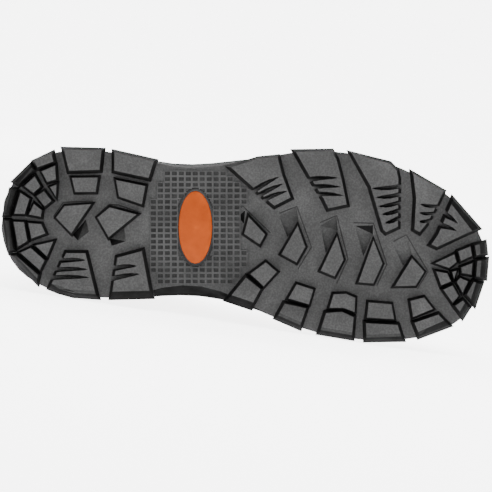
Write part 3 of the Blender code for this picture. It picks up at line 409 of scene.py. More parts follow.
def cast(tree, start, way):
    """First hit from a place in the standing boot, in mm, along a way; place and normal in world."""
    hit, normal, _, _ = tree.ray_cast(lie(*start), lie_way(*way))
    if hit is None:
        return None
    if normal.dot(lie_way(*way)) > 0.0:
        normal = -normal
    return hit, normal


# The sole

# Combs of claw-shaped notches: the lug's edge from corner to corner, then share along it and tip,
# in thousandths of the sole length and of the ball width
COMBS = (
    ((114, 315), (141, 127), ((0.29, 192, 244), (0.52, 187, 203), (0.78, 181, 156))),
    ((240, 337), (245, 128), ((0.48, 292, 204), (0.73, 285, 163))),
    ((544, -226), (503, -305), ((0.25, 575, -296), (0.52, 566, -332), (0.80, 556, -366))),
    ((649, -274), (616, -389), ((0.18, 689, -296), (0.50, 682, -340), (0.82, 675, -386))),
    ((797, -407), (804, -157), ((0.16, 745, -345), (0.33, 755, -300), (0.50, 761, -254),
                                (0.66, 769, -214), (0.82, 777, -170))),
    ((881, -297), (862, -187), ((0.15, 845, -285), (0.50, 845, -240), (0.85, 846, -195))),
    ((887, -134), (912, -323), ((0.25, 925, -160), (0.55, 925, -200))),
)
CLAW_HALF = 2.4
CLAW_DEPTH = 3.2
CLAW_BOW = 0.5
CLAW_TAPER = 0.46
CLAW_ABOVE = 1.5
# Along a claw: mm before its root or share of its length, and share of its half width
CLAW_STATIONS = ((-2.5, 1.0), (0.0, 1.0), (0.35, 0.94), (0.65, 0.72), (0.88, 0.36), (1.0, 0.05))

# Sunken slopes beside the arrow lugs: deep end by the lug, shallow end away from it, in mm
SLOPES = (
    ((154.1, -12.4), (150.3, -16.9), (153.7, -20.9), (156.5, -18.1)),
    ((182.2, -6.3), (176.0, -19.1), (186.1, -26.0), (188.4, -16.4)),
    ((207.1, 1.6), (202.3, -15.4), (211.7, -22.1), (213.5, -13.4)),
    ((230.8, 1.5), (224.1, -17.2), (235.1, -19.8), (235.7, -13.0)),
    ((256.4, 5.5), (249.2, -7.5), (256.7, -14.4), (261.3, -1.9)),
    ((46.9, 3.5), (50.3, 6.7), (56.9, 0.7), (54.3, -7.1)),
    ((70.0, 3.8), (72.0, 8.1), (80.9, 6.2), (78.7, -4.4)),
)
SLOPE_DEPTH = 3.0
SLOPE_END_DEPTH = 0.05
SLOPE_ABOVE = 0.6
CHANNEL_LEVEL = 5.5

# Rolled rims, in mm, the largest area of one lug in square mm, and the
# largest angle between two faces of its underside
LUG_AREA = 1500.0
LUG_BEND = math.radians(12.0)
RIM_WIDTH = 3.4
RIM_ROLL = 2.2
RIM_SHORTEST = 3.0
RIM_PROBE = 4.5
HEEL_END = 60.0
TOE_END = 275.0

# Where the waist flares out on the inner side, in mm, and how squarely its flat floor looks down;
# the flaring faces get painted shade
FLARE_FROM = 84.0
FLARE_TO = 176.0
FLARE_INNER = 28.0
FLARE_FACING = 0.985


def plan(length, width):
    """Plan place in mm from thousandths of the sole length and of the ball width."""
    return Vector((length * SOLE_LENGTH, width * BALL_WIDTH)) / 1000.0


def level_at(spot):
    """Height of the sole's underside over a plan place, in mm, or None beside the sole."""
    hit = soles.ray_cast(lie(spot.x, spot.y, BELOW_SOLE), lie_way(0.0, 0.0, 1.0))[0]
    return (STAND @ hit).z / MM if hit else None


def add_prism(bm, upper, lower):
    """A closed loft between two loops of places in the standing boot, in mm."""
    loops = [[bm.verts.new(lie(*point)) for point in loop] for loop in (upper, lower)]
    count = len(upper)
    for k in range(count):
        n = (k + 1) % count
        bm.faces.new((loops[0][k], loops[0][n], loops[1][n], loops[1][k]))
    bm.faces.new(loops[0][::-1])
    bm.faces.new(loops[1])


def claw_outline(root, tip, edge):
    """Plan outline of a notch that runs from the lug's edge in to its tip, down and back."""
    reach = tip - root
    sides = ([], [])
    for along, swell in CLAW_STATIONS:
        spot = root + (reach.normalized() if along < 0.0 else reach) * along
        bow = edge * CLAW_BOW * math.sin(math.pi * max(0.0, along))
        for side, sign in zip(sides, (-1.0, 1.0)):
            side.append(spot + bow + edge * sign * CLAW_HALF * swell)
    return sides[0] + sides[1][::-1]


def add_claw(bm, root, tip, edge):
    """A wedge that narrows as it goes deeper, measured from the lug's own face."""
    levels = [level_at(root.lerp(tip, share) + edge * aside)
              for share in (0.3, 0.6, 0.9) for aside in (-2.8, 0.0, 2.8)]
    level = min(found for found in levels if found is not None)
    outline = claw_outline(root, tip, edge)
    bed = [point.lerp(mate, CLAW_TAPER) for point, mate in zip(outline, outline[::-1])]
    add_prism(bm, [(point.x, point.y, level - CLAW_ABOVE) for point in outline],
              [(point.x, point.y, level + CLAW_DEPTH) for point in bed])


def add_slope(bm, corners):
    """A wedge that is deep along its first and last corners and runs out at the other two."""
    level = level_at(Vector(corners[1])) or CHANNEL_LEVEL
    depths = (SLOPE_DEPTH, SLOPE_END_DEPTH, SLOPE_END_DEPTH, SLOPE_DEPTH)
    add_prism(bm, [(x, y, level - SLOPE_ABOVE) for x, y in corners],
              [(x, y, level + depth) for (x, y), depth in zip(corners, depths)])


def tread_cutter():
    """All that is carved out of the lugs and channels, as one mesh."""
    bm = bmesh.new()
    for start, end, notches in COMBS:
        first, last = plan(*start), plan(*end)
        for share, length, width in notches:
            add_claw(bm, first.lerp(last, share), plan(length, width), (last - first).normalized())
    for corners in SLOPES:
        add_slope(bm, corners)
    bmesh.ops.recalc_face_normals(bm, faces=bm.faces)
    return bm


def rim_lines(face):
    """Lines in plan where a lug face meets the outer side of the sole: a point and a way out."""
    lines = []
    for edge in face.edges:
        walls = [other for other in edge.link_faces if other is not face]
        if len(walls) != 1 or edge.calc_face_angle(0.0) < math.radians(40.0):
            continue
        if edge.calc_length() < RIM_SHORTEST * MM:
            continue
        out = STAND_TURN @ walls[0].normal
        out.z = 0.0
        out.normalize()
        middle = STAND @ (0.5 * (edge.verts[0].co + edge.verts[1].co)) / MM
        at_heel = out.x < -0.6 and middle.x < HEEL_END
        at_toe = out.x > 0.5 and middle.x > TOE_END
        inner = out.y > 0.15
        if (inner or at_heel or at_toe) and level_at(middle + out * RIM_PROBE) is None:
            lines.append((middle, out))
    return lines


def lug_tops(bm):
    """Groups of faces that look down and run into each other, without the channel floor."""
    left = dict.fromkeys(face for face in bm.faces if face.normal.dot(SOLE_DOWN) > 0.92)
    tops = []
    while left:
        top = [next(iter(left))]
        del left[top[0]]
        for face in top:
            near = dict.fromkeys(other for edge in face.edges for other in edge.link_faces
                                 if other in left and edge.calc_face_angle(0.0) < LUG_BEND)
            for other in near:
                del left[other]
            top.extend(near)
        if sum(face.calc_area() for face in top) < LUG_AREA * MM * MM:
            tops.append(top)
    return tops


def round_rims(bm):
    """Roll the outer edges of the lugs over, at the heel, the toe and the inner side."""
    found = [(top, [line for face in top for line in rim_lines(face)]) for top in lug_tops(bm)]
    for faces, lines in found:
        if not lines:
            continue
        for middle, out in lines:
            for share in (1.0, 0.45):
                at = middle - out * RIM_WIDTH * share
                whole = dict.fromkeys(item for one in faces
                                      for item in (one, *one.edges, *one.verts))
                cut = bmesh.ops.bisect_plane(bm, geom=list(whole), dist=1e-6,
                                             plane_co=lie(at.x, at.y, at.z),
                                             plane_no=lie_way(*out))
                faces = [item for item in cut["geom"] if isinstance(item, bmesh.types.BMFace)]
        for vert in {vert for one in faces for vert in one.verts}:
            spot = STAND @ vert.co / MM
            near = min((middle - spot).dot(out) for middle, out in lines)
            share = min(1.0, max(0.0, 1.0 - near / RIM_WIDTH))
            vert.co -= SOLE_DOWN * RIM_ROLL * share * share * MM


def make_tread():
    """The sole with rolled rims, with the notches and slopes carved, and painted shade on the inner
    waist flare.
    """
    bm = merged("outsole")
    flattened(bm, 1.2)
    round_rims(bm)
    holder = holder_of("tread_block", bm)
    cutter = holder_of("tread_cutter", tread_cutter())
    carve = holder.modifiers.new("Carve", "BOOLEAN")
    carve.operation = "DIFFERENCE"
    carve.object = cutter
    carve.solver = "EXACT"
    carve.use_self = True
    bm = evaluated(holder)
    bpy.data.objects.remove(cutter, do_unlink=True)
    bmesh.ops.dissolve_degenerate(bm, edges=bm.edges, dist=1e-4 * MM)
    flattened(bm, 1.0)
    # The flaring faces of the inner waist get a near-black rubber with no gloss: painted shade
    for face in bm.faces:
        spot = STAND @ face.calc_center_median() / MM
        in_flare_shade = FLARE_FROM < spot.x < FLARE_TO and spot.y > FLARE_INNER
        if in_flare_shade and face.normal.dot(SOLE_DOWN) < FLARE_FACING:
            face.material_index = 1
    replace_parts(link("tread", bm, ["tread", "flare"], 14.0), "outsole")


# Fine lines moulded around the arrow lugs, in mm
ARROW_LINES = (
    ((33.8, -7.0), (39.2, -16.5), (57.8, -18.9)),
    ((59.9, -8.9), (68.2, -17.6), (74.0, -17.8), (87.1, -14.4)),
    ((147.0, -17.2), (152.3, -23.7), (171.1, -8.3)),
    ((175.8, -21.0), (186.4, -26.3), (197.7, -1.4), (190.4, 13.2)),
    ((201.8, -17.3), (212.0, -22.6), (221.3, 4.0), (215.6, 20.0)),
    ((222.9, -19.0), (235.5, -19.6), (246.1, 5.3), (241.0, 19.3)),
    ((249.1, -9.4), (256.9, -14.1), (272.6, 7.8), (266.8, 19.3)),
)


def make_arrow_lines():
    """The fine lines, with a point about every 2 mm so that they follow the sole."""
    dense = []
    for line in ARROW_LINES:
        points = []
        for a, b in zip(line[:-1], line[1:]):
            steps = max(2, int((Vector(b) - Vector(a)).length / 2.0))
            points += [tuple(Vector(a).lerp(Vector(b), k / steps)) for k in range(steps)]
        dense.append(points + [line[-1]])
    # The lines are drawn in the near-black painted-shade rubber
    ridge("arrow_lines", dense, 0.32, 0.22, "pocket")


# Waist waffle in mm: pitch, rib, slant, rise of the ribs and of the cells, how far it is sunk in
# the sole, where it ends, and its outline from the badge's centre
WAFFLE_COLUMNS = 19
WAFFLE_ROWS = 22
WAFFLE_PITCH = (4.41, 3.60)
WAFFLE_RIB = 1.7
WAFFLE_SLANT = 0.15
WAFFLE_RISE = 0.75
CELL_RISE = 0.12
WAFFLE_SUNK = 0.4
WAFFLE_LOWEST = 7.6
WAIST_LEVEL = 11.0
WAFFLE_OUTLINE = ((-17.5, -36.0), (32.0, -36.0), (32.0, -25.5), (37.0, -22.0), (32.5, -14.5),
                  (28.0, -11.0), (28.0, 11.0), (33.0, 14.5), (33.0, 22.0), (26.0, 33.5),
                  (24.0, 36.0), (-21.0, 36.0), (-30.5, 22.0), (-30.5, -11.0), (-19.5, -33.0))
BADGE_CENTRE = Vector((123.55, -7.80))
BADGE_HALF = (11.0, 23.25)
BADGE_RIM = 1.5
BADGE_CLEARANCE = 0.4
BADGE_RIM_STEPS = 64


def on_waist(across, down):
    """Place in the standing boot's plan, in mm, of a point given from the badge's centre."""
    return BADGE_CENTRE + ACROSS * across + DOWNWARDS * down


def inside(point, outline):
    """Whether a point lies in a closed outline, by counting the sides that it is left of."""
    x, y = point
    odd = False
    for (ax, ay), (bx, by) in zip(outline, outline[1:] + outline[:1]):
        if (ay > y) != (by > y) and x < (bx - ax) * (y - ay) / (by - ay) + ax:
            odd = not odd
    return odd


def make_waffle():
    """Recessed squares between raised ribs, around the badge; the squares carry painted shade."""
    bm = bmesh.new()
    bmesh.ops.create_grid(bm, x_segments=WAFFLE_COLUMNS, y_segments=WAFFLE_ROWS, size=1.0)
    bmesh.ops.scale(bm, verts=bm.verts, vec=(0.5 * WAFFLE_COLUMNS * WAFFLE_PITCH[0],
                                             0.5 * WAFFLE_ROWS * WAFFLE_PITCH[1], 1.0))
    outside = []
    for face in bm.faces:
        middle = face.calc_center_median().xy
        oval = math.hypot(middle.x / (BADGE_HALF[0] + 1.6), middle.y / (BADGE_HALF[1] + 1.6))
        levels = [level_at(on_waist(vert.co.x, vert.co.y)) or 0.0 for vert in face.verts]
        if oval < 1.0 or not inside(middle, WAFFLE_OUTLINE) or min(levels) < WAFFLE_LOWEST:
            outside.append(face)
    bmesh.ops.delete(bm, geom=outside, context="FACES")
    cells = list(bm.faces)
    bmesh.ops.inset_individual(bm, faces=cells, thickness=WAFFLE_RIB * 0.5)
    # The cells get a darker rubber than the ribs: painted shade in the recesses
    for face in cells:
        face.material_index = 1
    bmesh.ops.inset_individual(bm, faces=cells, thickness=WAFFLE_SLANT)
    heights = {vert: WAFFLE_RISE for vert in bm.verts}
    for face in cells:
        for vert in face.verts:
            heights[vert] = CELL_RISE
    whole = [*bm.faces, *bm.edges, *bm.verts]
    under = bmesh.ops.extrude_face_region(bm, geom=whole, use_keep_orig=True)["geom"]
    heights.update({item: -WAFFLE_SUNK for item in under
                    if isinstance(item, bmesh.types.BMVert)})
    for vert in bm.verts:
        spot = on_waist(vert.co.x, vert.co.y)
        level = level_at(spot) or WAIST_LEVEL
        vert.co = lie(spot.x, spot.y, level - heights[vert])
    bmesh.ops.recalc_face_normals(bm, faces=bm.faces)
    link("waist_waffle", bm, ["waist", "cell"], 30.0)


def make_badge():
    """The bare oval inlay, its face softly domed, ringed by a low ridge in painted shade that stands
    for its groove.
    """
    bm = quads(merged("waist_badge"))
    round_over(bm, edges_over(bm, 60.0), 0.7, 4)
    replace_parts(link("badge_inlay", bm, "badge", 50.0), "waist_badge")
    half = [side + BADGE_CLEARANCE + 0.5 * BADGE_RIM for side in BADGE_HALF]
    turns = [2.0 * math.pi * k / BADGE_RIM_STEPS for k in range(BADGE_RIM_STEPS)]
    rim = [on_waist(half[0] * math.cos(t), half[1] * math.sin(t)).to_tuple() for t in turns]
    # The groove around the inlay: a low ridge drawn in painted shade
    ridge("badge_surround", [rim + rim[:1]], 0.5 * BADGE_RIM, 0.35, "pocket")


def tube(bm, points, half, rise, up_way, sides=8):
    """A round cord through the points, closed where they end as they start.

    half and rise are its half width and its half height along up_way, in mm.
    """
    closed = (points[0] - points[-1]).length < 1e-6
    if closed:
        points = points[:-1]
    count = len(points)
    rings = []
    for i, point in enumerate(points):
        before = points[i - 1] if closed or i else point
        after = points[(i + 1) % count] if closed or i < count - 1 else point
        along = (after - before).normalized()
        aside = along.cross(up_way(i) if callable(up_way) else up_way).normalized()
        top = aside.cross(along).normalized()
        turns = [2.0 * math.pi * k / sides for k in range(sides)]
        rings.append([bm.verts.new(point + aside * math.cos(t) * half * MM
                                   + top * math.sin(t) * rise * MM) for t in turns])
    for i in range(count if closed else count - 1):
        first, second = rings[i], rings[(i + 1) % count]
        for k in range(sides):
            n = (k + 1) % sides
            bm.faces.new((first[k], first[n], second[n], second[k]))
    if not closed:
        bm.faces.new(rings[0])
        bm.faces.new(rings[-1][::-1])


def ridge(name, lines, half, rise, material):
    """Thin lines that follow the sole, half sunk in it."""
    bm = bmesh.new()
    for line in lines:
        hits = [cast(soles, (x, y, BELOW_SOLE), (0.0, 0.0, 1.0)) for x, y in line]
        tube(bm, [hit[0] for hit in hits if hit], half, rise, SOLE_DOWN)
    bmesh.ops.recalc_face_normals(bm, faces=bm.faces)
    return link(name, bm, material, 60.0)


# The upper

# Soft folds in the leather: side, points in side view, depth and width, in mm
FOLDS = (
    (-1, ((62, 118), (84, 124), (106, 138)), 1.4, 4.2),
    (-1, ((56, 103), (82, 105), (110, 117)), 1.1, 4.0),
    (-1, ((66, 134), (86, 141), (100, 150)), 0.7, 3.6),
    (1, ((60, 112), (84, 120), (104, 134)), 1.4, 4.2),
    (1, ((64, 97), (88, 101), (112, 112)), 1.0, 3.8),
    (-1, ((233, 47), (223, 61), (215, 76)), 1.1, 3.4),
    (-1, ((218, 45), (207, 59), (198, 74)), 0.9, 3.2),
    (-1, ((203, 44), (194, 56), (186, 70)), 0.6, 3.0),
    (1, ((230, 46), (219, 60), (209, 74)), 1.1, 3.4),
    (1, ((213, 44), (204, 56), (193, 70)), 0.8, 3.0),
    (-1, ((14, 118), (30, 113), (50, 116)), 0.9, 4.4),
    (1, ((14, 116), (32, 112), (52, 118)), 0.9, 4.4),
)
# Side seam from the guard down to the welt, in side view, in mm
SIDE_SEAM = ((168, 92), (170, 78), (177, 62), (188, 48), (196, 42))


SEAM_DEPTH = 0.5
SEAM_WIDTH = 1.8

# A line through the middle of the boot's hollow: its ends in x, its height in the foot, and
# where the shaft begins, in mm
HEART_BACK = 60.0
HEART_FRONT = 285.0
HEART_HEIGHT = 45.0
SHAFT_FRONT = 125.0


def off_line(x, z, line):
    """Distance in side view from a point to a line of points."""
    best = 1e9
    for (ax, az), (bx, bz) in zip(line[:-1], line[1:]):
        span = (bx - ax) ** 2 + (bz - az) ** 2
        t = max(0.0, min(1.0, ((x - ax) * (bx - ax) + (z - az) * (bz - az)) / span))
        best = min(best, math.hypot(x - ax - t * (bx - ax), z - az - t * (bz - az)))
    return best


def outward(place_at, way):
    """Whether a way at a place in the standing boot points out of the boot."""
    in_shaft = place_at.x < SHAFT_FRONT
    heart = Vector((min(max(place_at.x, HEART_BACK), HEART_FRONT), AXIS_Y,
                    place_at.z if in_shaft else HEART_HEIGHT))
    return (place_at - heart).dot(way) > 0.0


def shape_shell(bm):
    """Press the folds and the side seam in, and line the inside."""
    bm.normal_update()
    for vert in bm.verts:
        spot = STAND @ vert.co / MM
        side = 1 if spot.y > AXIS_Y else -1
        push = -SEAM_DEPTH * math.exp(-(off_line(spot.x, spot.z, SIDE_SEAM) / SEAM_WIDTH) ** 2)
        for fold_side, line, depth, width in FOLDS:
            if fold_side == side:
                gap = off_line(spot.x, spot.z, line)
                push -= depth * math.exp(-(gap / width) ** 2)
                push += 0.40 * depth * math.exp(-((gap - 1.7 * width) / width) ** 2)
        if abs(push) > 0.02:
            sign = 1.0 if outward(spot, STAND_TURN @ vert.normal) else -1.0
            vert.co += vert.normal * sign * push * MM
    bm.normal_update()
    for face in bm.faces:
        spot = STAND @ face.calc_center_median() / MM
        face.material_index = 0 if outward(spot, STAND_TURN @ face.normal) else 1


def make_shell():
    """The leather of the upper, creased, with a cloth lining."""
    bm = refined(quads(merged("upper")), 2)
    shape_shell(bm)
    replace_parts(link("leather_shell", bm, ["leather", "lining"], 60.0), "upper")


# The collar's lower and upper border, in mm: height at the back, where the back is, and slope
COLLAR_LOW = (154.0, 17.2, 0.254)
COLLAR_HIGH = (178.0, 18.7, 0.0825)
COLLAR_PUFF = 2.0
COLLAR_SEAM_INSET = 2.2


def collar_border(border, x):
    """Height of a border of the collar at an x."""
    height, back, slope = border
    return height + (x - back) * slope


def make_collar():
    """The padded band, puffed into two rolls that rest on the floor."""
    bm = refined(quads(merged("collar")), 3)
    bm.normal_update()
    for vert in bm.verts:
        spot = STAND @ vert.co / MM
        low, high = collar_border(COLLAR_LOW, spot.x), collar_border(COLLAR_HIGH, spot.x)
        share = min(1.0, max(0.0, (spot.z - low) / (high - low)))
        if outward(spot, STAND_TURN @ vert.normal):
            puff = COLLAR_PUFF * abs(math.sin(2.0 * math.pi * share)) ** 0.7
            vert.co += vert.normal * puff * MM
        vert.co.z = max(0.0, vert.co.z)
    piece = link("collar_pad", bm, "collar", 60.0)
    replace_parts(piece, "collar")


# A row of stitches breaks off where its points are further apart than this, in mm
ROW_GAP = 9.0

# Where the rows are looked for, in mm: the middle of the foot across and up, the throat's foot
# and top in side view, and the ends of the welt's straight stretch
FOOT_MIDDLE = (-4.0, 34.0)
THROAT_LOW = (190.0, 96.0)
THROAT_HIGH = (112.0, 180.0)
FACING_FANS = 46
WELT_BACK = 45
WELT_FRONT = 265


def stitches(name, rows, pitch=3.4, length=2.5, girth=0.8):
    """Short raised stitches along rows of (place, normal)."""
    bm = bmesh.new()
    for row in rows:
        carried = 0.0
        for (a, first), (b, second) in zip(row[:-1], row[1:]):
            span = (b - a).length
            if span > ROW_GAP * MM or span < 1e-6:
                carried = 0.0
                continue
            along = (b - a).normalized()
            while carried < span:
                normal = first.lerp(second, carried / span).normalized()
                aside = normal.cross(along).normalized()
                turn = Matrix((along, aside, aside.cross(along) * -1.0)).transposed().to_4x4()
                size = Matrix.Diagonal((0.5 * length * MM, 0.5 * girth * MM, 0.4 * girth * MM, 1.0))
                at = Matrix.Translation(a + along * carried + normal * 0.12 * MM)
                bmesh.ops.create_icosphere(bm, subdivisions=1, radius=1.0, matrix=at @ turn @ size)
                carried += pitch * MM
            carried -= span
    bmesh.ops.recalc_face_normals(bm, faces=bm.faces)
    return link(name, bm, "thread", 80.0)


def edge_rows(tree, stations, inset):
    """Rows a step in from both borders of a piece; each station is a fan of (start, way)."""
    rows = ([], [])
    for fan in stations:
        hits = [hit for hit in (cast(tree, start, way) for start, way in fan) if hit]
        if len(hits) < 4:
            continue
        for row, order in zip(rows, (hits, hits[::-1])):
            gone = 0.0
            for (a, _), (b, normal) in zip(order[:-1], order[1:]):
                gone += (b - a).length
                if gone >= inset * MM:
                    row.append((b, normal))
                    break
    return rows


def ring_row(tree, x_at, low=-98, high=98, step=2):
    """A row over the top of the boot near one x, which may lean with the angle."""
    row = []
    for angle in range(low, high + 1, step):
        t = math.radians(angle)
        x = x_at(math.cos(t))
        way = (0.0, math.sin(t), math.cos(t))
        hit = cast(tree, (x, FOOT_MIDDLE[0] + 150.0 * way[1], FOOT_MIDDLE[1] + 150.0 * way[2]),
                   (0.0, -way[1], -way[2]))
        if hit:
            row.append(hit)
    return row


def turned_row(tree, height_at, low, high, step=2):
    """A row around the shaft at a height that depends on x; angles from the toe direction."""
    row = []
    for angle in range(low, high + 1, step):
        t = math.radians(angle)
        way = (math.cos(t), math.sin(t), 0.0)
        x = SHAFT_X + 40.0 * way[0]
        hit = None
        for _ in range(4):
            hit = cast(tree, (SHAFT_X + 200.0 * way[0], AXIS_Y + 200.0 * way[1], height_at(x)),
                       (-way[0], -way[1], 0.0))
            if hit is None:
                break
            x = (STAND @ hit[0]).x / MM
        if hit:
            row.append(hit)
    return row


def side_row(tree, line, side, step=1.5):
    """A row along a line drawn in side view, on one side."""
    row = []
    for (ax, az), (bx, bz) in zip(line[:-1], line[1:]):
        count = max(1, int(math.hypot(bx - ax, bz - az) / step))
        for k in range(count):
            t = k / count
            hit = cast(tree, (ax + (bx - ax) * t, side * 120.0, az + (bz - az) * t),
                       (0.0, -side, 0.0))
            if hit:
                row.append(hit)
    return row


def back_row(tree, y, heights):
    """A row up the back of the boot at one y."""
    hits = [cast(tree, (-80.0, y, z), (1.0, 0.0, 0.0)) for z in heights]
    return [hit for hit in hits if hit]


def shifted(line, dx):
    return tuple((x + dx, z) for x, z in line)


def counter_top(x):
    """Height of the heel counter's top border."""
    return HEEL_HEIGHT + COUNTER_HEIGHT * (1.0 - (x / COUNTER_LENGTH) ** 2)


def facing_fans(side):
    """Fans across one facing, from its foot to the collar."""
    fans = []
    for k in range(FACING_FANS):
        t = k / (FACING_FANS - 1)
        x, z = (low + (high - low) * t for low, high in zip(THROAT_LOW, THROAT_HIGH))
        fans.append([((x + 60.0, AXIS_Y + side * (4.0 + 0.5 * n), z + 64.0),
                      tuple(-part for part in FORWARD_SLOPE)) for n in range(76)])
    return fans


def welt_fans():
    """Fans from outside the welt inwards, once around the boot."""
    stations = [(WELT_BACK, angle) for angle in range(90, 271, 3)]
    stations += [(x, 270) for x in range(WELT_BACK + 3, WELT_FRONT + 1, 3)]
    stations += [(WELT_FRONT, angle) for angle in range(270, 451, 3)]
    stations += [(x, 90) for x in range(WELT_FRONT - 1, WELT_BACK + 1, -3)]
    fans = []
    for x, angle in stations:
        t = math.radians(angle)
        fans.append([((x + r * math.cos(t), AXIS_Y + r * math.sin(t), 70.0), (0.0, 0.0, -1.0))
                     for r in (75.0 - 0.4 * n for n in range(140))])
    return fans


def guard_fans():
    """Fans over the instep, along the guard."""
    turns = [math.radians(-100.0 + 0.8 * n) for n in range(251)]
    return [[((x, AXIS_Y + 140.0 * math.sin(t), 60.0 + 140.0 * math.cos(t)),
              (0.0, -math.sin(t), -math.cos(t))) for t in turns] for x in range(146, 234, 2)]


def make_seams():
    """All the stitching but the pull loop's."""
    toe = surface_of("toe_cap")
    stitches("toe_cap_seams", [ring_row(toe, lambda c, k=k: 244.6 + 3.2 * c + k) for k in (0, 3.2)])
    counter = surface_of("heel_counter")
    stitches("counter_seams", [turned_row(counter, lambda x, k=k: counter_top(x) - k, 60, 300)
                               for k in (2.6, 5.8)])
    stitches("collar_seam",
             [turned_row(surface_of("collar"),
                         lambda x: collar_border(COLLAR_LOW, x) + COLLAR_SEAM_INSET, 38, 322)])
    rows = []
    for name, side in (("eyestay_lateral", -1), ("eyestay_medial", 1)):
        rows += edge_rows(surface_of(name), facing_fans(side), 2.2)
    stitches("facing_seams", rows, 3.0, 2.2, 0.7)
    shell = surface_of("upper")
    stitches("side_seams", [side_row(shell, shifted(SIDE_SEAM, dx), side)
                            for side in (-1, 1) for dx in (-2.2, 2.2)])
    stay = surface_of("backstay")
    stitches("backstay_seams", [back_row(stay, y, range(97, 137)) for y in (-14.0, 4.4)])
    welt_rows = edge_rows(surface_of("welt"), welt_fans(), 1.9)
    stitches("welt_seam", welt_rows[:1], 5.2, 4.0, 1.0)
    guard_rows = edge_rows(surface_of("met_guard"), guard_fans(), 4.0)
    stitches("guard_seams", guard_rows, 3.6, 2.6, 0.9)


# Eyelets and lace, in mm
EYELET_PAIRS = 4
HOLE_RADIUS = 2.0
HOLE_SUNK = 0.7
HOLE_THICKNESS = 0.3
LACE_HALF = 2.0
BAR_RISE = 1.1
UNDER_RISE = 1.0


def make_eyelet(side, number, facings):
    """A ring with a hole drawn as a sunk disc of painted shade; its centre and the way that it
    faces.
    """
    name = "eyelet_%s_%d" % (side, number)
    bm = refined(quads(merged(name)), 2)
    centre = sum((vert.co for vert in bm.verts), Vector()) / len(bm.verts)
    normal = facings.find_nearest(centre)[1]
    if not outward(STAND @ centre / MM, STAND_TURN @ normal):
        normal = -normal
    turn = normal.to_track_quat("Z", "Y").to_matrix().to_4x4()
    # A disc of painted shade, sunk in the ring, stands for the dark hole
    made = bmesh.ops.create_cone(bm, cap_ends=True, segments=20, radius1=HOLE_RADIUS * MM,
                                 radius2=HOLE_RADIUS * MM, depth=HOLE_THICKNESS * MM,
                                 matrix=Matrix.Translation(centre - normal * HOLE_SUNK * MM) @ turn)
    for face in {face for vert in made["verts"] for face in vert.link_faces}:
        face.material_index = 1
    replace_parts(link("ring_%s_%d" % (side, number), bm, ["brass", "pocket"], 60.0), name)
    return centre, normal


def make_eyelets_and_lace():
    """The rings, a bar of lace across each pair, and diagonals between the pairs."""
    facings = surface_of("eyestay_lateral", "eyestay_medial")
    pairs = [[make_eyelet(side, number, facings) for side in ("lateral", "medial")]
             for number in range(1, EYELET_PAIRS + 1)]
    over = surface_of("tongue", "eyestay_lateral", "eyestay_medial", "upper")
    tongue = surface_of("tongue")
    bm = bmesh.new()
    for lateral, medial in pairs:
        lace_bar(bm, lateral, medial, over)
    for (lateral, medial), (next_lateral, next_medial) in zip(pairs[:-1], pairs[1:]):
        lace_under(bm, lateral, next_medial, tongue, 1.0)
        lace_under(bm, medial, next_lateral, tongue, 1.6)
    bmesh.ops.recalc_face_normals(bm, faces=bm.faces)
    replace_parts(link("lace_cord", bm, "lace", 60.0), "lace")


def over_places(a, b, tree, lift, count=25):
    """Places from a to b that lie on a surface, looked for square to the top line."""
    way = lie_way(*FORWARD_SLOPE)
    places = []
    for k in range(count):
        start = a.lerp(b, k / (count - 1)) + way * 60.0 * MM
        hit, normal = tree.ray_cast(start, -way, 0.12)[:2]
        if hit is not None:
            if normal.dot(way) < 0.0:
                normal = -normal
            places.append((hit + normal * lift * MM, normal))
    return places


def eased(places):
    """Evens a row of (place, way) without moving its ends."""
    for _ in range(3):
        inner = [((p[0] + 2.0 * q[0] + r[0]) / 4.0, (p[1] + 2.0 * q[1] + r[1]).normalized())
                 for p, q, r in zip(places[:-2], places[1:-1], places[2:])]
        places = places[:1] + inner + places[-1:]
    return places


def lace_bar(bm, start, end, tree):
    """Out of one eyelet, over the tongue and into the eyelet across."""
    (a, up_a), (b, up_b) = start, end
    places = eased([(a + up_a * 1.3 * MM, up_a)] + over_places(a, b, tree, 1.5)[2:-2]
                   + [(b + up_b * 1.3 * MM, up_b)])
    along = (b - a).normalized()
    dip_a = (up_a + along * 0.8).normalized()
    dip_b = (up_b - along * 0.8).normalized()
    places = ([(a - up_a * 2.4 * MM - along * 0.5 * MM, dip_a)] + places
              + [(b - up_b * 2.4 * MM + along * 0.5 * MM, dip_b)])
    ways = [way for _, way in places]
    tube(bm, [spot for spot, _ in places], LACE_HALF, BAR_RISE, lambda i: ways[i], 10)


def lace_under(bm, start, end, tongue, lift):
    """From below one eyelet to below the next one across, on the tongue."""
    places = over_places(start[0], end[0], tongue, lift)
    if len(places) > 4:
        places = eased(places)
        ways = [way for _, way in places]
        tube(bm, [spot for spot, _ in places], LACE_HALF, UNDER_RISE, lambda i: ways[i], 10)


def make_pull_loop():
    """The webbing loop with rounded borders, sewn around its two ends."""
    bm = merged("pull_loop")
    flattened(bm, 1.0)
    round_over(bm, edges_over(bm, 60.0), 0.5, 2)
    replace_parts(link("pull_webbing", bm, "webbing", 40.0), "pull_loop")
    loop = surface_of("pull_loop")
    rows = []
    for z in (164.5, 176.0):
        rows.append([hit for hit in (cast(loop, (-60.0, y * 0.5, z), (1.0, 0.0, 0.0))
                                     for y in range(-22, 4)) if hit])
    for y in (-10.8, 1.2):
        rows.append([hit for hit in (cast(loop, (-60.0, y, 164.5 + k * 0.5), (1.0, 0.0, 0.0))
                                     for k in range(24)) if hit])
    stitches("loop_seams", rows, 2.4, 1.8, 0.7)


def make_smooth_copy(node, name, material, angle=60.0, levels=1):
    """A CAD node's own shape, refined and with its finish."""
    bm = quads(merged(node))
    if levels:
        bm = refined(bm, levels)
    piece = link(name, bm, material, angle)
    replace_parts(piece, node)
    return piece


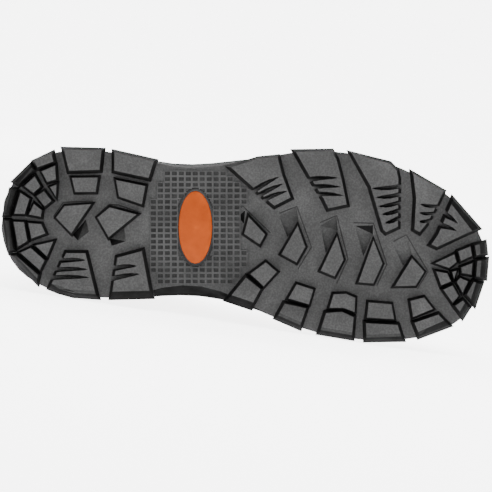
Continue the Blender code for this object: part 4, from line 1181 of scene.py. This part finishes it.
materials = {
    "tread": tread_rubber(),
    "side": plain_rubber("side_rubber", 0.012, 0.036),
    "waist": plain_rubber("waist_rubber", 0.024, 0.040),
    # Painted shade: a near-black copy of the sole rubber, for the badge groove, the eyelet holes and
    # the fine arrow lines
    "pocket": plain_rubber("painted_shade_black_rubber", 0.006, 0.016, 120.0),
    # Painted shade: a near-black, glossless copy of the rubber for the inner waist flare
    "flare": plain_rubber("flare_shade_paint", 0.003, 0.009, 60.0, 0.0),
    # Painted shade: a darker copy of the waist rubber for the waffle's recessed cells
    "cell": plain_rubber("cell_shade_paint", 0.007, 0.020, 160.0),
    "badge": badge_rubber(),
    "leather": oiled_leather("oiled_leather", (0.024, 0.011, 0.006), (0.044, 0.020, 0.010),
                             (0.080, 0.040, 0.021)),
    "overlay": oiled_leather("overlay_leather", (0.016, 0.008, 0.005), (0.030, 0.015, 0.009),
                             (0.062, 0.034, 0.020), 520.0),
    "tongue": oiled_leather("tongue_leather", (0.012, 0.008, 0.006), (0.022, 0.014, 0.010),
                            (0.044, 0.029, 0.020), 700.0),
    "collar": woven_cloth("collar_cloth", (0.006, 0.005, 0.005), (0.020, 0.018, 0.017)),
    "lining": woven_cloth("lining_cloth", (0.020, 0.020, 0.021), (0.060, 0.059, 0.060)),
    "lace": woven_cloth("lace_cloth", (0.022, 0.015, 0.011), (0.070, 0.050, 0.038), 1600.0),
    "webbing": woven_cloth("webbing_cloth", (0.008, 0.007, 0.006), (0.024, 0.020, 0.018), 700.0),
    "guard": moulded_guard(),
    "brass": aged_brass(),
    "thread": seam_thread("seam_thread", (0.11, 0.085, 0.055)),
}
soles = surface_of("outsole")

set_camera()
set_studio()
set_floor()
make_tread()
make_waffle()
make_badge()
make_arrow_lines()
make_smooth_copy("midsole", "midsole_layer", "side", 50.0, 0)
make_smooth_copy("welt", "welt_rim", "side", 50.0, 0)
make_smooth_copy("insole", "footbed", "lining", 50.0, 0)
make_shell()
make_smooth_copy("toe_cap", "toe_cap_leather", "overlay")
make_smooth_copy("heel_counter", "counter_leather", "overlay", 50.0, 0)
make_smooth_copy("backstay", "backstay_strip", "overlay")
make_smooth_copy("eyestay_lateral", "facing_lateral", "overlay")
make_smooth_copy("eyestay_medial", "facing_medial", "overlay")
make_smooth_copy("tongue", "tongue_pad", "tongue")
make_smooth_copy("met_guard", "instep_guard", "guard", 24.0, 0)
make_collar()
make_seams()
make_eyelets_and_lace()
make_pull_loop()
